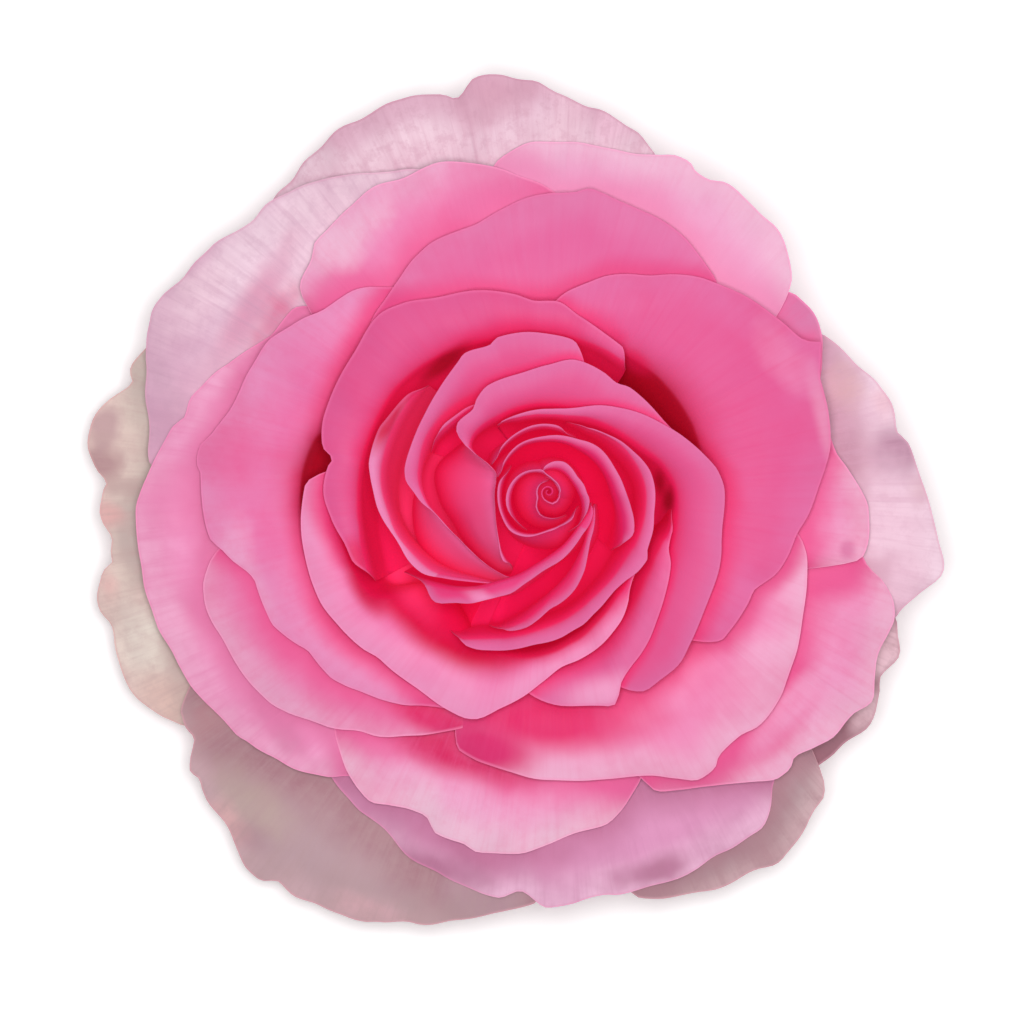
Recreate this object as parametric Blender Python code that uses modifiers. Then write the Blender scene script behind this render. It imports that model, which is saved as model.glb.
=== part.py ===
"""A picked, full-blown double garden rose head, resting face up on a table.

The bloom is a spiral of separate petals round a rolled heart. They stand on the domed
receptacle above the hip, which ends in the cut of its stalk. Five reflexed sepals reach down
to the table and steady the head.

Frame: metres, +Z up. The origin is on the table, on the bud's axis.
"""
import math
from dataclasses import dataclass

import bmesh
import bpy
import numpy as np

MM = 0.001

# Driving sizes, in millimetres
CROWN_HEIGHT = 51.0       # top of the innermost petals above the table
DOME_CENTRE = 14.0        # height of the receptacle dome's centre
DOME_RADIUS = 7.5
HIP_RADIUS = 7.2
STALK_RADIUS = 3.0
PETAL_THICKNESS = 0.6
SEAT_GAP = 0.3            # clearance of a claw over the dome
CLAW_HALF_WIDTH = 1.2
SEPAL_COUNT = 5
SEPAL_THICKNESS = 0.8
SEPAL_HALF_WIDTH = 3.4

# The shells that the petals lie on: how each size changes with the radius of a petal's wall
WALL_FIRST = 2.0
WALL_MIDDLE = 12.0
WALL_LAST = 30.0
CROWN_FALL_INNER = 0.8    # fall of the crown for each millimetre of wall radius
CROWN_FALL_OUTER = 0.85
SHOULDER_DROP = 7.0
BELLY_HEIGHT = 27.0
BELLY_FALL = 0.3
DROOP = 0.0105            # lips sink with the square of the distance past DROOP_START
DROOP_START = 19.0
SEAT_FIRST_ANGLE = 10.0   # where the claws stand on the dome, in degrees from its top
SEAT_LAST_ANGLE = 90.0


@dataclass
class Petal:
    """Outlines of one petal as (azimuth in degrees, radius in millimetres) points.

    rim is the free edge, fold is where the blade turns from its wall into its lip, and wall
    is the radius of its standing wall. seat is the azimuth of its claw.
    """
    name: str
    seat: float
    wall: tuple
    fold: tuple
    rim: tuple
    columns: int = 12


PETALS = (
    Petal("bud_petal_1", 190,
          ((110, 3.1), (160, 4.2), (200, 4.5), (290, 4.9)),
          ((110, 1.6), (205, 1.6), (230, 2.3), (250, 3.1), (290, 3.7)),
          ((110, 1.9), (205, 1.9), (230, 2.6), (250, 3.4), (270, 3.8), (290, 4.0)), 10),
    Petal("bud_petal_2", 110,
          ((-6, 3.5), (80, 3.9), (104, 4.0), (120, 4.5), (160, 5.4), (230, 5.9)),
          ((-6, 1.6), (60, 1.6), (97, 2.2), (120, 3.0), (160, 4.3), (200, 5.2), (230, 5.7)),
          ((-6, 1.9), (60, 1.9), (97, 2.5), (120, 3.4), (140, 4.0), (160, 4.7), (180, 5.3),
           (200, 5.6), (222, 6.0), (230, 6.0)), 12),
    Petal("bud_petal_3", 0,
          ((-46, 6.2), (-20, 5.3), (0, 4.7), (80, 5.0), (104, 5.4)),
          ((-46, 5.9), (-20, 4.7), (0, 3.6), (20, 3.0), (60, 2.9), (104, 3.5)),
          ((-46, 6.8), (-30, 6.4), (-10, 5.4), (0, 4.9), (20, 4.4), (60, 4.3), (80, 4.0),
           (104, 3.8)), 10),
    Petal("bud_petal_4", 250,
          ((156, 6.4), (200, 6.7), (240, 7.4), (280, 7.2), (300, 6.0), (320, 4.9)),
          ((156, 6.2), (190, 6.3), (225, 6.6), (250, 5.9), (280, 4.7), (320, 4.5)),
          ((156, 6.4), (190, 6.6), (225, 6.9), (240, 6.6), (260, 5.6), (280, 5.0), (300, 4.8),
           (320, 4.7)), 10),
    Petal("bud_petal_5", 60,
          ((-37, 9.9), (-10, 8.7), (0, 8.0), (40, 7.5), (80, 7.1), (120, 7.0), (153, 7.8)),
          ((-37, 11.6), (-10, 8.7), (0, 8.1), (20, 7.3), (60, 6.4), (120, 6.8), (153, 6.6)),
          ((-37, 12.7), (-30, 12.5), (-20, 11.8), (0, 10.0), (20, 9.1), (50, 8.3), (80, 7.4),
           (120, 7.2), (153, 6.9)), 14),
    Petal("bud_petal_6", 112,
          ((72, 8.2), (120, 8.3), (146, 9.0)),
          ((72, 7.7), (100, 8.2), (146, 7.8)),
          ((72, 8.2), (80, 8.6), (110, 8.8), (130, 8.5), (146, 8.1)), 6),
    Petal("bud_petal_7", 285,
          ((206, 21.2), (220, 19.0), (240, 16.8), (250, 15.8), (262, 12.2), (280, 9.2),
           (300, 8.2), (320, 7.4), (346, 6.8)),
          ((206, 23.6), (220, 18.9), (230, 16.6), (240, 14.4), (250, 13.4), (260, 10.4), (280, 7.9),
           (300, 7.2), (346, 6.6)),
          ((206, 24.7), (211, 22.4), (220, 21.1), (230, 18.7), (240, 16.2), (250, 14.3),
           (260, 11.3), (270, 9.8), (290, 8.3), (320, 7.4), (346, 6.9)), 14),
    Petal("bud_petal_8", 308,
          ((238, 18.4), (250, 17.0), (260, 14.8), (280, 12.2), (300, 10.0), (320, 8.6),
           (346, 8.0)),
          ((238, 20.4), (256, 18.0), (275, 13.4), (285, 11.3), (295, 9.5), (310, 8.4),
           (346, 7.8)),
          ((238, 21.0), (250, 19.5), (261, 17.7), (271, 15.1), (280, 13.9), (290, 12.1),
           (300, 10.2), (310, 9.0), (346, 8.2)), 12),
    Petal("inner_petal_1", 180,
          ((18, 13.7), (40, 12.1), (80, 10.8), (120, 10.9), (140, 11.7), (155, 13.2),
           (170, 14.8), (185, 14.0), (200, 12.8), (248, 12.1)),
          ((18, 15.0), (40, 13.2), (80, 11.2), (110, 11.4), (140, 11.8), (150, 10.9),
           (161, 7.6), (190, 7.5), (226, 8.9), (248, 10.6)),
          ((18, 18.6), (28, 17.8), (52, 17.1), (58, 16.6), (78, 17.4), (90, 16.4), (119, 15.8),
           (133, 14.4), (142, 14.7), (150, 12.7), (155, 8.9), (161, 7.9), (190, 7.8),
           (213, 8.2), (226, 9.2), (248, 10.9)), 20),
    Petal("inner_petal_2", 142,
          ((124, 12.1), (140, 13.0), (156, 14.4)),
          ((124, 14.2), (156, 16.1)),
          ((124, 14.6), (135, 15.5), (156, 16.6)), 4),
    Petal("inner_petal_3", 335,
          ((-129, 20.4), (-120, 19.7), (-110, 18.7), (-100, 17.0), (-80, 15.0), (-60, 12.9),
           (-40, 11.6), (0, 11.2), (20, 10.2), (34, 9.2)),
          ((-129, 22.4), (-110, 19.9), (-90, 17.3), (-60, 14.0), (-30, 13.0), (0, 12.4),
           (34, 11.2)),
          ((-129, 23.4), (-127, 24.2), (-115, 22.5), (-90, 19.4), (-70, 16.9), (-50, 15.2),
           (-35, 15.5), (-30, 14.8), (0, 13.8), (20, 12.7), (34, 11.6)), 16),
    Petal("inner_petal_4", 105,
          ((70, 12.1), (80, 12.3), (120, 13.3), (140, 14.5), (155, 15.7), (170, 16.6),
           (200, 18.0), (220, 16.2), (230, 14.9), (246, 13.3)),
          ((70, 15.0), (100, 15.8), (150, 17.2), (170, 16.6), (190, 14.4), (210, 12.6),
           (246, 11.8)),
          ((70, 17.5), (80, 19.8), (100, 20.9), (108, 21.0), (112, 20.4), (121, 20.9),
           (130, 19.9), (150, 18.8), (170, 18.8), (180, 17.4), (190, 15.1), (210, 12.9),
           (246, 12.1)), 18),
    Petal("inner_petal_5", 195,
          ((132, 15.6), (160, 17.6), (180, 19.0), (200, 20.2), (220, 17.7), (230, 16.4),
           (247, 14.6)),
          ((132, 21.0), (170, 21.7), (190, 20.5), (210, 18.3), (230, 14.6), (247, 12.8)),
          ((132, 22.5), (150, 22.5), (170, 23.5), (190, 21.6), (212, 19.5), (230, 15.2),
           (247, 13.1)), 14),
    Petal("inner_petal_6", 0,
          ((-76, 20.4), (-40, 15.4), (0, 13.6), (20, 12.0), (40, 10.5), (80, 9.5), (124, 9.6)),
          ((-76, 24.0), (-32, 18.6), (0, 15.6), (20, 13.4), (60, 10.6), (80, 9.8), (124, 9.7)),
          ((-76, 27.5), (-72, 28.7), (-54, 28.1), (-32, 24.8), (0, 22.8), (13, 20.8),
           (30, 17.3), (50, 14.2), (72, 11.3), (90, 10.6), (124, 10.4)), 18),
    Petal("middle_petal_1", 140,
          ((54, 13.5), (80, 13.9), (120, 15.6), (140, 17.1), (160, 19.4), (180, 20.9),
           (210, 22.5)),
          ((54, 17.0), (100, 19.8), (122, 21.7), (150, 24.0), (190, 24.8), (210, 25.4)),
          ((54, 20.2), (80, 23.1), (88, 24.7), (93, 24.7), (110, 27.7), (120, 29.0),
           (134, 31.7), (160, 30.7), (168, 29.9), (171, 28.1), (180, 29.1), (195, 27.1),
           (210, 25.9)), 18),
    Petal("middle_petal_2", 225,
          ((164, 21.0), (180, 22.3), (200, 23.6), (220, 22.3), (240, 21.3), (260, 19.1),
           (280, 17.2), (300, 14.8), (320, 12.9)),
          ((164, 27.0), (190, 28.3), (215, 27.6), (240, 24.1), (260, 22.1), (280, 20.0),
           (320, 14.5)),
          ((164, 29.0), (180, 31.6), (205, 32.8), (225, 30.7), (235, 30.6), (249, 31.2),
           (257, 28.9), (268, 24.7), (280, 22.1), (300, 19.0), (320, 15.2)), 18),
    Petal("middle_petal_3", 290,
          ((258, 20.7), (280, 19.2), (300, 16.5), (320, 14.0), (340, 12.6)),
          ((258, 24.0), (280, 23.2), (300, 20.5), (320, 17.4), (340, 15.0)),
          ((258, 27.5), (270, 27.7), (287, 28.9), (291, 26.4), (300, 24.1), (320, 19.9),
           (340, 16.8)), 10),
    Petal("middle_petal_4", 20,
          ((-49, 18.0), (-20, 16.6), (0, 16.4), (40, 15.6), (91, 15.8)),
          ((-49, 23.0), (0, 20.8), (91, 20.4)),
          ((-49, 27.0), (-40, 29.6), (-26, 29.5), (-15, 32.1), (0, 34.8), (20, 38.0),
           (29, 40.4), (32, 38.1), (49, 35.1), (70, 30.0), (91, 25.0)), 16),
    Petal("middle_petal_5", 82,
          ((44, 17.2), (80, 17.5), (130, 18.6)),
          ((44, 25.0), (130, 25.0)),
          ((44, 34.0), (62, 37.4), (82, 39.7), (92, 38.5), (106, 35.8), (114, 35.6),
           (130, 33.0)), 12),
    Petal("middle_petal_6", 178,
          ((121, 19.8), (140, 20.6), (164, 22.3), (200, 24.5), (220, 23.8), (250, 23.0)),
          ((121, 29.0), (140, 31.6), (175, 33.5), (205, 33.5), (250, 28.0)),
          ((121, 32.5), (134, 36.3), (145, 39.0), (157, 41.7), (165, 42.5), (174, 45.9),
           (188, 44.3), (197, 39.7), (205, 39.7), (214, 37.2), (220, 37.1), (250, 30.5)), 16),
    Petal("middle_petal_7", 305,
          ((252, 22.2), (280, 21.8), (320, 19.6), (355, 17.9)),
          ((252, 26.6), (290, 29.0), (320, 28.5), (355, 24.5)),
          ((252, 33.0), (262, 36.6), (283, 38.1), (299, 42.1), (305, 40.5), (318, 40.3),
           (340, 35.6), (355, 32.5)), 14),
    Petal("outer_petal_1", 115,
          ((82, 19.0), (100, 19.8), (121, 21.0), (147, 23.0)),
          ((82, 28.0), (115, 29.0), (147, 30.0)),
          ((82, 37.5), (100, 43.0), (109, 45.0), (120, 45.4), (133, 44.2), (147, 38.0)), 10),
    Petal("outer_petal_2", 230,
          ((185, 25.6), (220, 24.6), (259, 24.0)),
          ((185, 36.0), (205, 36.5), (230, 33.5), (259, 29.0)),
          ((185, 43.0), (198, 46.8), (213, 46.0), (227, 41.7), (245, 34.5), (259, 30.0)), 10),
    Petal("outer_petal_3", 192,
          ((140, 24.2), (160, 24.3), (200, 26.8), (240, 27.1)),
          ((140, 33.0), (165, 36.0), (200, 38.5), (240, 36.0)),
          ((140, 40.0), (152, 41.9), (166, 48.1), (183, 53.6), (198, 53.7), (213, 51.9),
           (229, 48.2), (240, 44.0)), 14),
    Petal("outer_petal_4", 253,
          ((223, 26.2), (245, 25.6), (292, 24.0)),
          ((223, 36.5), (245, 35.5), (292, 33.0)),
          ((223, 40.0), (240, 46.3), (248, 44.9), (259, 47.7), (275, 44.3), (292, 39.0)), 10),
    Petal("outer_petal_5", 322,
          ((284, 22.8), (320, 22.0), (354, 21.1)),
          ((284, 31.5), (320, 32.0), (354, 29.0)),
          ((284, 38.0), (298, 43.4), (310, 47.7), (327, 50.0), (340, 47.8), (354, 40.0)), 10),
    Petal("outer_petal_6", 10,
          ((-19, 19.5), (15, 19.8), (46, 21.6)),
          ((-19, 27.5), (15, 28.0), (46, 30.0)),
          ((-19, 39.5), (-8, 42.0), (4, 39.0), (14, 37.0), (34, 41.5), (46, 39.5)), 10),
    Petal("outer_petal_7", 62,
          ((35, 19.0), (80, 20.6), (105, 21.8)),
          ((35, 27.5), (70, 29.0), (105, 31.0)),
          ((35, 40.0), (50, 45.4), (60, 46.3), (68, 46.7), (78, 45.2), (92, 45.4),
           (105, 42.0)), 10),
    Petal("outer_petal_8", 275,
          ((228, 28.5), (250, 27.5), (270, 26.6), (313, 24.6)),
          ((228, 38.8), (270, 37.5), (313, 34.0)),
          ((228, 45.0), (243, 48.6), (262, 53.2), (266, 52.1), (270, 54.2), (288, 53.1),
           (302, 51.7), (313, 46.0)), 12),
    Petal("guard_petal_1", 140,
          ((108, 22.4), (120, 23.2), (140, 25.5), (160, 26.0), (181, 27.4)),
          ((108, 33.0), (145, 36.0), (181, 39.0)),
          ((108, 44.0), (122, 48.8), (137, 52.3), (154, 56.4), (165, 54.2), (181, 50.5)), 10),
    Petal("guard_petal_2", 96,
          ((68, 22.0), (100, 23.2), (120, 24.9), (139, 27.2)),
          ((68, 31.0), (105, 33.0), (139, 38.5)),
          ((68, 44.0), (80, 49.5), (98, 54.5), (103, 52.5), (118, 54.7), (139, 50.5)), 10),
    Petal("guard_petal_3", 186,
          ((154, 27.8), (180, 29.2), (200, 30.0), (217, 31.2)),
          ((154, 38.0), (185, 41.5), (217, 44.0)),
          ((154, 54.0), (164, 56.8), (174, 60.0), (180, 57.6), (195, 60.5), (206, 59.9),
           (217, 54.0)), 10),
    Petal("guard_petal_4", 236,
          ((206, 28.4), (228, 29.6), (272, 28.5)),
          ((206, 40.0), (240, 41.5), (272, 40.0)),
          ((206, 51.0), (218, 58.8), (233, 63.0), (245, 61.0), (259, 56.5), (272, 51.0)), 10),
    Petal("guard_petal_5", 300,
          ((277, 28.2), (300, 26.8), (319, 25.8)),
          ((277, 38.0), (319, 36.0)),
          ((277, 51.0), (288, 55.4), (302, 56.6), (312, 53.6), (319, 48.5)), 8),
    Petal("guard_petal_6", 332,
          ((308, 29.0), (319, 28.0), (346, 25.4)),
          ((308, 39.5), (346, 35.0)),
          ((308, 48.5), (324, 51.5), (331, 49.4), (335, 50.2), (346, 46.0)), 8),
    Petal("guard_petal_7", 2,
          ((-26, 23.5), (0, 22.6), (35, 23.6)),
          ((-26, 32.0), (5, 31.0), (35, 32.0)),
          ((-26, 46.0), (-11, 52.1), (0, 49.1), (14, 46.1), (26, 42.6), (35, 39.0)), 10),
)

COLOURS = {
    "bud": (0.78, 0.02, 0.09),
    "inner": (0.80, 0.07, 0.22),
    "middle": (0.83, 0.14, 0.34),
    "outer": (0.84, 0.32, 0.52),
    "guard": (0.80, 0.56, 0.58),
}


def curve_value(points, azimuth):
    """Value at an azimuth of a monotone cubic through hand-set (azimuth, value) points."""
    x = np.array([p[0] for p in points], dtype=float)
    y = np.array([p[1] for p in points], dtype=float)
    step = np.diff(x)
    slope = np.diff(y) / step
    tangent = np.empty_like(y)
    tangent[0], tangent[-1] = slope[0], slope[-1]
    for i in range(1, len(x) - 1):
        if slope[i - 1] * slope[i] <= 0:
            tangent[i] = 0.0
        else:
            w1 = 2 * step[i] + step[i - 1]
            w2 = step[i] + 2 * step[i - 1]
            tangent[i] = (w1 + w2) / (w1 / slope[i - 1] + w2 / slope[i])
    azimuth = np.clip(azimuth, x[0], x[-1])
    i = np.clip(np.searchsorted(x, azimuth, side="right") - 1, 0, len(x) - 2)
    t = (azimuth - x[i]) / step[i]
    return ((1 + 2 * t) * (1 - t) ** 2 * y[i] + t * (1 - t) ** 2 * step[i] * tangent[i]
            + t * t * (3 - 2 * t) * y[i + 1] + t * t * (t - 1) * step[i] * tangent[i + 1])


def crown_height(wall):
    """Height at which a petal with this wall radius turns over."""
    inner = CROWN_HEIGHT - CROWN_FALL_INNER * (np.minimum(wall, WALL_MIDDLE) - WALL_FIRST)
    return inner - CROWN_FALL_OUTER * np.maximum(wall - WALL_MIDDLE, 0)


def lip_drop(radius):
    """How far a lip at this radius has sunk below the crown of its petal."""
    return DROOP * np.maximum(radius - DROOP_START, 0) ** 2


def seat_point(wall):
    """Radius and height of the claw's middle surface where it stands over the dome."""
    share = (wall - WALL_FIRST) / (WALL_LAST - WALL_FIRST)
    angle = np.radians(SEAT_FIRST_ANGLE + share * (SEAT_LAST_ANGLE - SEAT_FIRST_ANGLE))
    reach = DOME_RADIUS + SEAT_GAP + 0.5 * PETAL_THICKNESS
    return reach * np.sin(angle), DOME_CENTRE + reach * np.cos(angle)


def profile_point(wall, fold, rim, t):
    """Radius and height at t (0 claw, 1 rim) of a quadratic spline up one petal."""
    seat_r, seat_z = seat_point(wall)
    crown = crown_height(wall)
    belly_z = BELLY_HEIGHT - BELLY_FALL * (wall - WALL_FIRST)
    controls = ((seat_r, seat_z), (wall, belly_z), (wall, crown - SHOULDER_DROP),
                (fold, crown), (rim, crown))
    knots = (0, 0, 0, 1 / 3, 2 / 3, 1, 1, 1)
    span = min(int(t * 3), 2) + 2
    points = [controls[span - 2 + i] for i in range(3)]
    for level in (1, 2):
        for i in range(2, level - 1, -1):
            k = span - 2 + i
            share = (t - knots[k]) / (knots[k + 3 - level] - knots[k])
            points[i] = tuple((1 - share) * a + share * b
                              for a, b in zip(points[i - 1], points[i]))
    radius, height = points[2]
    return radius, height - lip_drop(radius)


# How far up a petal, from claw to rim, it has its full width
FULL_WIDTH_AT = {"bud": 0.72, "inner": 0.72, "middle": 0.66, "outer": 0.58, "guard": 0.5}
PROFILE_STATIONS = (0.0, 0.14, 0.30, 0.46, 0.60, 0.74, 0.87, 1.0)


def petal_surface(petal, u, t):
    """Point in millimetres of a petal's middle surface; u runs across it, t up it."""
    first, last = petal.rim[0][0], petal.rim[-1][0]
    top = first + u * (last - first)
    seat = petal.seat if petal.seat <= last else petal.seat - 360
    claw_radius = seat_point(curve_value(petal.wall, seat))[0]
    claw = seat + (2 * u - 1) * math.degrees(CLAW_HALF_WIDTH / max(claw_radius, 1.6))
    spread = min(t / FULL_WIDTH_AT[petal.name.split("_")[0]], 1.0)
    spread = spread * spread * (3 - 2 * spread)
    azimuth = claw + (top - claw) * spread
    wall = curve_value(petal.wall, azimuth)
    fold = curve_value(petal.fold, azimuth)
    rim = curve_value(petal.rim, azimuth)
    radius, height = profile_point(wall, fold, rim, t)
    angle = math.radians(azimuth)
    return radius * math.cos(angle), radius * math.sin(angle), height


def material(name, colour, roughness):
    """A plain matt material."""
    made = bpy.data.materials.new(name)
    made.use_nodes = True
    shader = made.node_tree.nodes["Principled BSDF"]
    shader.inputs["Base Color"].default_value = (*colour, 1)
    shader.inputs["Roughness"].default_value = roughness
    shader.inputs["Metallic"].default_value = 0.0
    return made


def blade(name, columns, rows, point, thickness, finish, collection):
    """A thin closed blade: a grid mapped by point(u, row) and given its thickness."""
    sheet = bmesh.new()
    bmesh.ops.create_grid(sheet, x_segments=columns, y_segments=rows, size=0.5)
    for vertex in sheet.verts:
        row = round((vertex.co.y + 0.5) * rows)
        vertex.co = [MM * value for value in point(vertex.co.x + 0.5, row)]
    bmesh.ops.triangulate(sheet, faces=sheet.faces)
    mesh = bpy.data.meshes.new(name)
    sheet.to_mesh(mesh)
    sheet.free()
    mesh.shade_smooth()
    mesh.materials.append(finish)
    item = bpy.data.objects.new(name, mesh)
    collection.objects.link(item)
    wall = item.modifiers.new("thickness", "SOLIDIFY")
    wall.thickness = thickness * MM
    wall.offset = 0.0
    return item


def make_petals(collection):
    """All petals, from the heart outwards."""
    finishes = {kind: material(kind + "_petal", colour, 0.55) for kind, colour in COLOURS.items()}
    for petal in PETALS:
        def point(u, row, petal=petal):
            return petal_surface(petal, u, PROFILE_STATIONS[row])
        blade(petal.name, petal.columns, len(PROFILE_STATIONS) - 1, point, PETAL_THICKNESS,
              finishes[petal.name.split("_")[0]], collection)


HEART_PROFILE = ((1.0, 22.0), (1.9, 25.0), (2.4, 30.0), (2.5, 36.0), (2.3, 42.0), (1.5, 46.0),
                 (0.8, 49.0), (0.35, 50.6))
HEART_BULGE = 1.35        # extra radius on the open side of the heart
HEART_BULGE_AZIMUTH = 300
HEART_SIDES = 16
HEART_GROOVE = 0.12
HEART_TWIST = 0.35        # radians of spiral for each millimetre of height


def make_heart(collection):
    """The rolled heart: a closed cone of the innermost petals with a spiral groove."""
    body = bmesh.new()
    rings = []
    for radius, height in HEART_PROFILE:
        ring = []
        for side in range(HEART_SIDES):
            angle = 2 * math.pi * side / HEART_SIDES
            open_side = math.cos(angle - math.radians(HEART_BULGE_AZIMUTH))
            bulge = HEART_BULGE * max(open_side, 0) ** 2 * radius / HEART_PROFILE[3][0]
            groove = 1 - HEART_GROOVE * (0.5 + 0.5 * math.cos(angle - HEART_TWIST * height))
            reach = (radius + bulge) * groove
            ring.append(body.verts.new((MM * reach * math.cos(angle),
                                        MM * reach * math.sin(angle), MM * height)))
        rings.append(ring)
    for lower, upper in zip(rings, rings[1:]):
        for side in range(HEART_SIDES):
            after = (side + 1) % HEART_SIDES
            body.faces.new((lower[side], lower[after], upper[after], upper[side]))
    body.faces.new(rings[0][::-1])
    body.faces.new(rings[-1])
    bmesh.ops.triangulate(body, faces=body.faces)
    mesh = bpy.data.meshes.new("bud_heart")
    body.to_mesh(mesh)
    body.free()
    mesh.shade_smooth()
    mesh.materials.append(material("heart", COLOURS["bud"], 0.5))
    collection.objects.link(bpy.data.objects.new("bud_heart", mesh))


def turned(name, profile, steps, finish, collection):
    """A closed turned solid from a top-to-bottom profile of (radius, height) points."""
    mesh = bpy.data.meshes.new(name)
    line = bmesh.new()
    verts = [line.verts.new((MM * r, 0, MM * z)) for r, z in profile]
    for a, b in zip(verts, verts[1:]):
        line.edges.new((a, b))
    line.to_mesh(mesh)
    line.free()
    mesh.materials.append(finish)
    item = bpy.data.objects.new(name, mesh)
    collection.objects.link(item)
    screw = item.modifiers.new("turn", "SCREW")
    screw.steps = steps
    screw.render_steps = steps
    screw.use_merge_vertices = True
    screw.merge_threshold = 0.00001
    screw.use_smooth_shade = True
    return item


def make_receptacle(collection):
    """Dome, hip and the cut stub of the stalk, in one piece."""
    dome = [(DOME_RADIUS * math.sin(math.radians(a)),
             DOME_CENTRE + DOME_RADIUS * math.cos(math.radians(a))) for a in range(0, 91, 15)]
    hip = [(DOME_RADIUS, 12.6), (HIP_RADIUS - 0.4, 11.6), (HIP_RADIUS, 9.5),
           (HIP_RADIUS - 0.5, 6.8), (HIP_RADIUS - 2.4, 4.2), (STALK_RADIUS, 2.6),
           (STALK_RADIUS, 0.0), (0.0, 0.0)]
    turned("receptacle", dome + hip, 32, material("hip_green", (0.16, 0.26, 0.07), 0.6),
           collection)


SEPAL_PATH = ((8.1, 12.2), (12.0, 12.6), (16.0, 11.2), (19.5, 8.2), (22.5, 4.4), (25.0, 1.6),
              (27.5, 0.55))
SEPAL_WIDTHS = (0.62, 1.0, 0.92, 0.60, 0.44, 0.26, 0.10)
SEPAL_COLUMNS = 4
SEPAL_CUP = 0.5           # how far the edges of a sepal stand above its midrib
SEPAL_FIRST_AZIMUTH = 18.0


def make_sepals(collection):
    """Five reflexed sepals, from under the rim of the hip down to the table."""
    finish = material("sepal_green", (0.20, 0.33, 0.08), 0.6)
    for number in range(SEPAL_COUNT):
        angle = math.radians(SEPAL_FIRST_AZIMUTH + 360 * number / SEPAL_COUNT)

        def point(u, row):
            across = 2 * u - 1
            radius, height = SEPAL_PATH[row]
            side = across * SEPAL_HALF_WIDTH * SEPAL_WIDTHS[row]
            height += SEPAL_CUP * across * across * SEPAL_WIDTHS[row]
            return (radius * math.cos(angle) - side * math.sin(angle),
                    radius * math.sin(angle) + side * math.cos(angle), height)
        blade(f"sepal_{number + 1}", SEPAL_COLUMNS, len(SEPAL_PATH) - 1, point,
              SEPAL_THICKNESS, finish, collection)


def main():
    for item in list(bpy.data.objects):
        bpy.data.objects.remove(item, do_unlink=True)
    collection = bpy.data.collections.new("rose")
    bpy.context.scene.collection.children.link(collection)
    make_receptacle(collection)
    make_sepals(collection)
    make_heart(collection)
    make_petals(collection)


main()
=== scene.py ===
"""Looks of a picked, full-blown double garden rose head, resting face up on a pale table.

Every petal is a thin closed blade on or near the surface of its plain solid in the frame: its
claw stands on the receptacle, its wall climbs, and its lip folds outwards to the free rim. Sizes in
the tables are millimetres, azimuths are degrees, counter-clockwise from +X about the bud's axis.
"""

import logging
import math
from dataclasses import dataclass, field, replace
from enum import Enum
from typing import Optional, Union

import bmesh
import bpy
import numpy as np
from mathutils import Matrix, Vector, noise

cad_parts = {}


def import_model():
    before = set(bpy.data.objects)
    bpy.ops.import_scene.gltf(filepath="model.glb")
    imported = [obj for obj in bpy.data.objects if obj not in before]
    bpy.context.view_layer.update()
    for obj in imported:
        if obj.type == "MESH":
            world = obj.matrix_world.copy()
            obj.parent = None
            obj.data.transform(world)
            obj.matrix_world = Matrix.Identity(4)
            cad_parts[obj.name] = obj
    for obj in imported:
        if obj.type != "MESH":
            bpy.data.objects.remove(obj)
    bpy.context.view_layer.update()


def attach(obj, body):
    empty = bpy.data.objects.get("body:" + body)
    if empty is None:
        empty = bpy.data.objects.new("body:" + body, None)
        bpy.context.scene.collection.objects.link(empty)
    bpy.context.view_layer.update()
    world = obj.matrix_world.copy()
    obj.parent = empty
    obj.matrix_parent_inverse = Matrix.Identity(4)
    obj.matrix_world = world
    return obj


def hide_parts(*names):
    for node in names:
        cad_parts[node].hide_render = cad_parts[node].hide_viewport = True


MM = 0.001
LOG = logging.getLogger("rose")

Table = tuple[tuple[float, float], ...]
Colour = tuple[float, float, float]

# Sizes shared with the solids
CROWN_HEIGHT = 51.0
DOME_CENTRE = 14.0
DOME_RADIUS = 7.5
CLAW_REACH = 8.1
CLAW_HALF_WIDTH = 1.2
WALL_FIRST = 2.0
WALL_MIDDLE = 12.0
WALL_LAST = 30.0
CROWN_FALL_INNER = 0.8
CROWN_FALL_OUTER = 0.85
SHOULDER_DROP = 7.0
BELLY_HEIGHT = 27.0
BELLY_FALL = 0.3
DROOP = 0.0105
DROOP_START = 19.0
SEAT_FIRST_ANGLE = 10.0
SEAT_LAST_ANGLE = 90.0

# A petal's side edges start down from its rim at this share of its height, and stand this upright
TUCKED_TO = 0.62
UPRIGHT_CORNER = 0.6
# Width, in millimetres, of a blade's last columns, and share up the blade where its last row starts
NOSE = 0.04
LAST_ROW = 0.996
# Steps and smoothing, in degrees, of the radius that inner petals hide, its least value, and how
# much further in, in millimetres, a petal's wall stands if it lies on top
COVER_STEP = 1.0
COVER_BLUR = 5
COVER_LEAST = 0.5
COVER_GAP = 0.3
# How much closer a blade's rows lie towards the rim, and how few and many columns it has
ROW_CROWDING = 1.35
COLUMN_LIMITS = (24, 130)
# Lengths, in millimetres, over which a blade thins, rolls down and frills towards its rim
THINNED_OVER = 1.6
ROLLED_OVER = 4.0
FRILLED_OVER = 6.0
# Sizes of the puckers and of the frill, in millimetres, and depth of the small puckers by the large
PUCKERS = (5.0, 2.2)
FRILLS = 3.4
SMALL_PUCKER_DEPTH = 0.45
FRILL_DEPTH = 1.6
# Upright share of a normal at which a face counts as steep (and takes painted shade), and as level
STEEP_TO_LEVEL = (0.35, 0.8)
# Waves that all lips share: depth in millimetres, number round the bloom, twist and start
SWAYS = ((0.9, 5, 0.06, 0.8), (0.5, 9, -0.10, 2.1), (0.3, 16, 0.12, 0.0))
SWAY_GROWS = (20.0, 60.0)
# The heart's height, and its fall in millimetres for each degree of the coil
HEART_HEIGHT = 50.0
HEART_FALL = 0.0014


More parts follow.
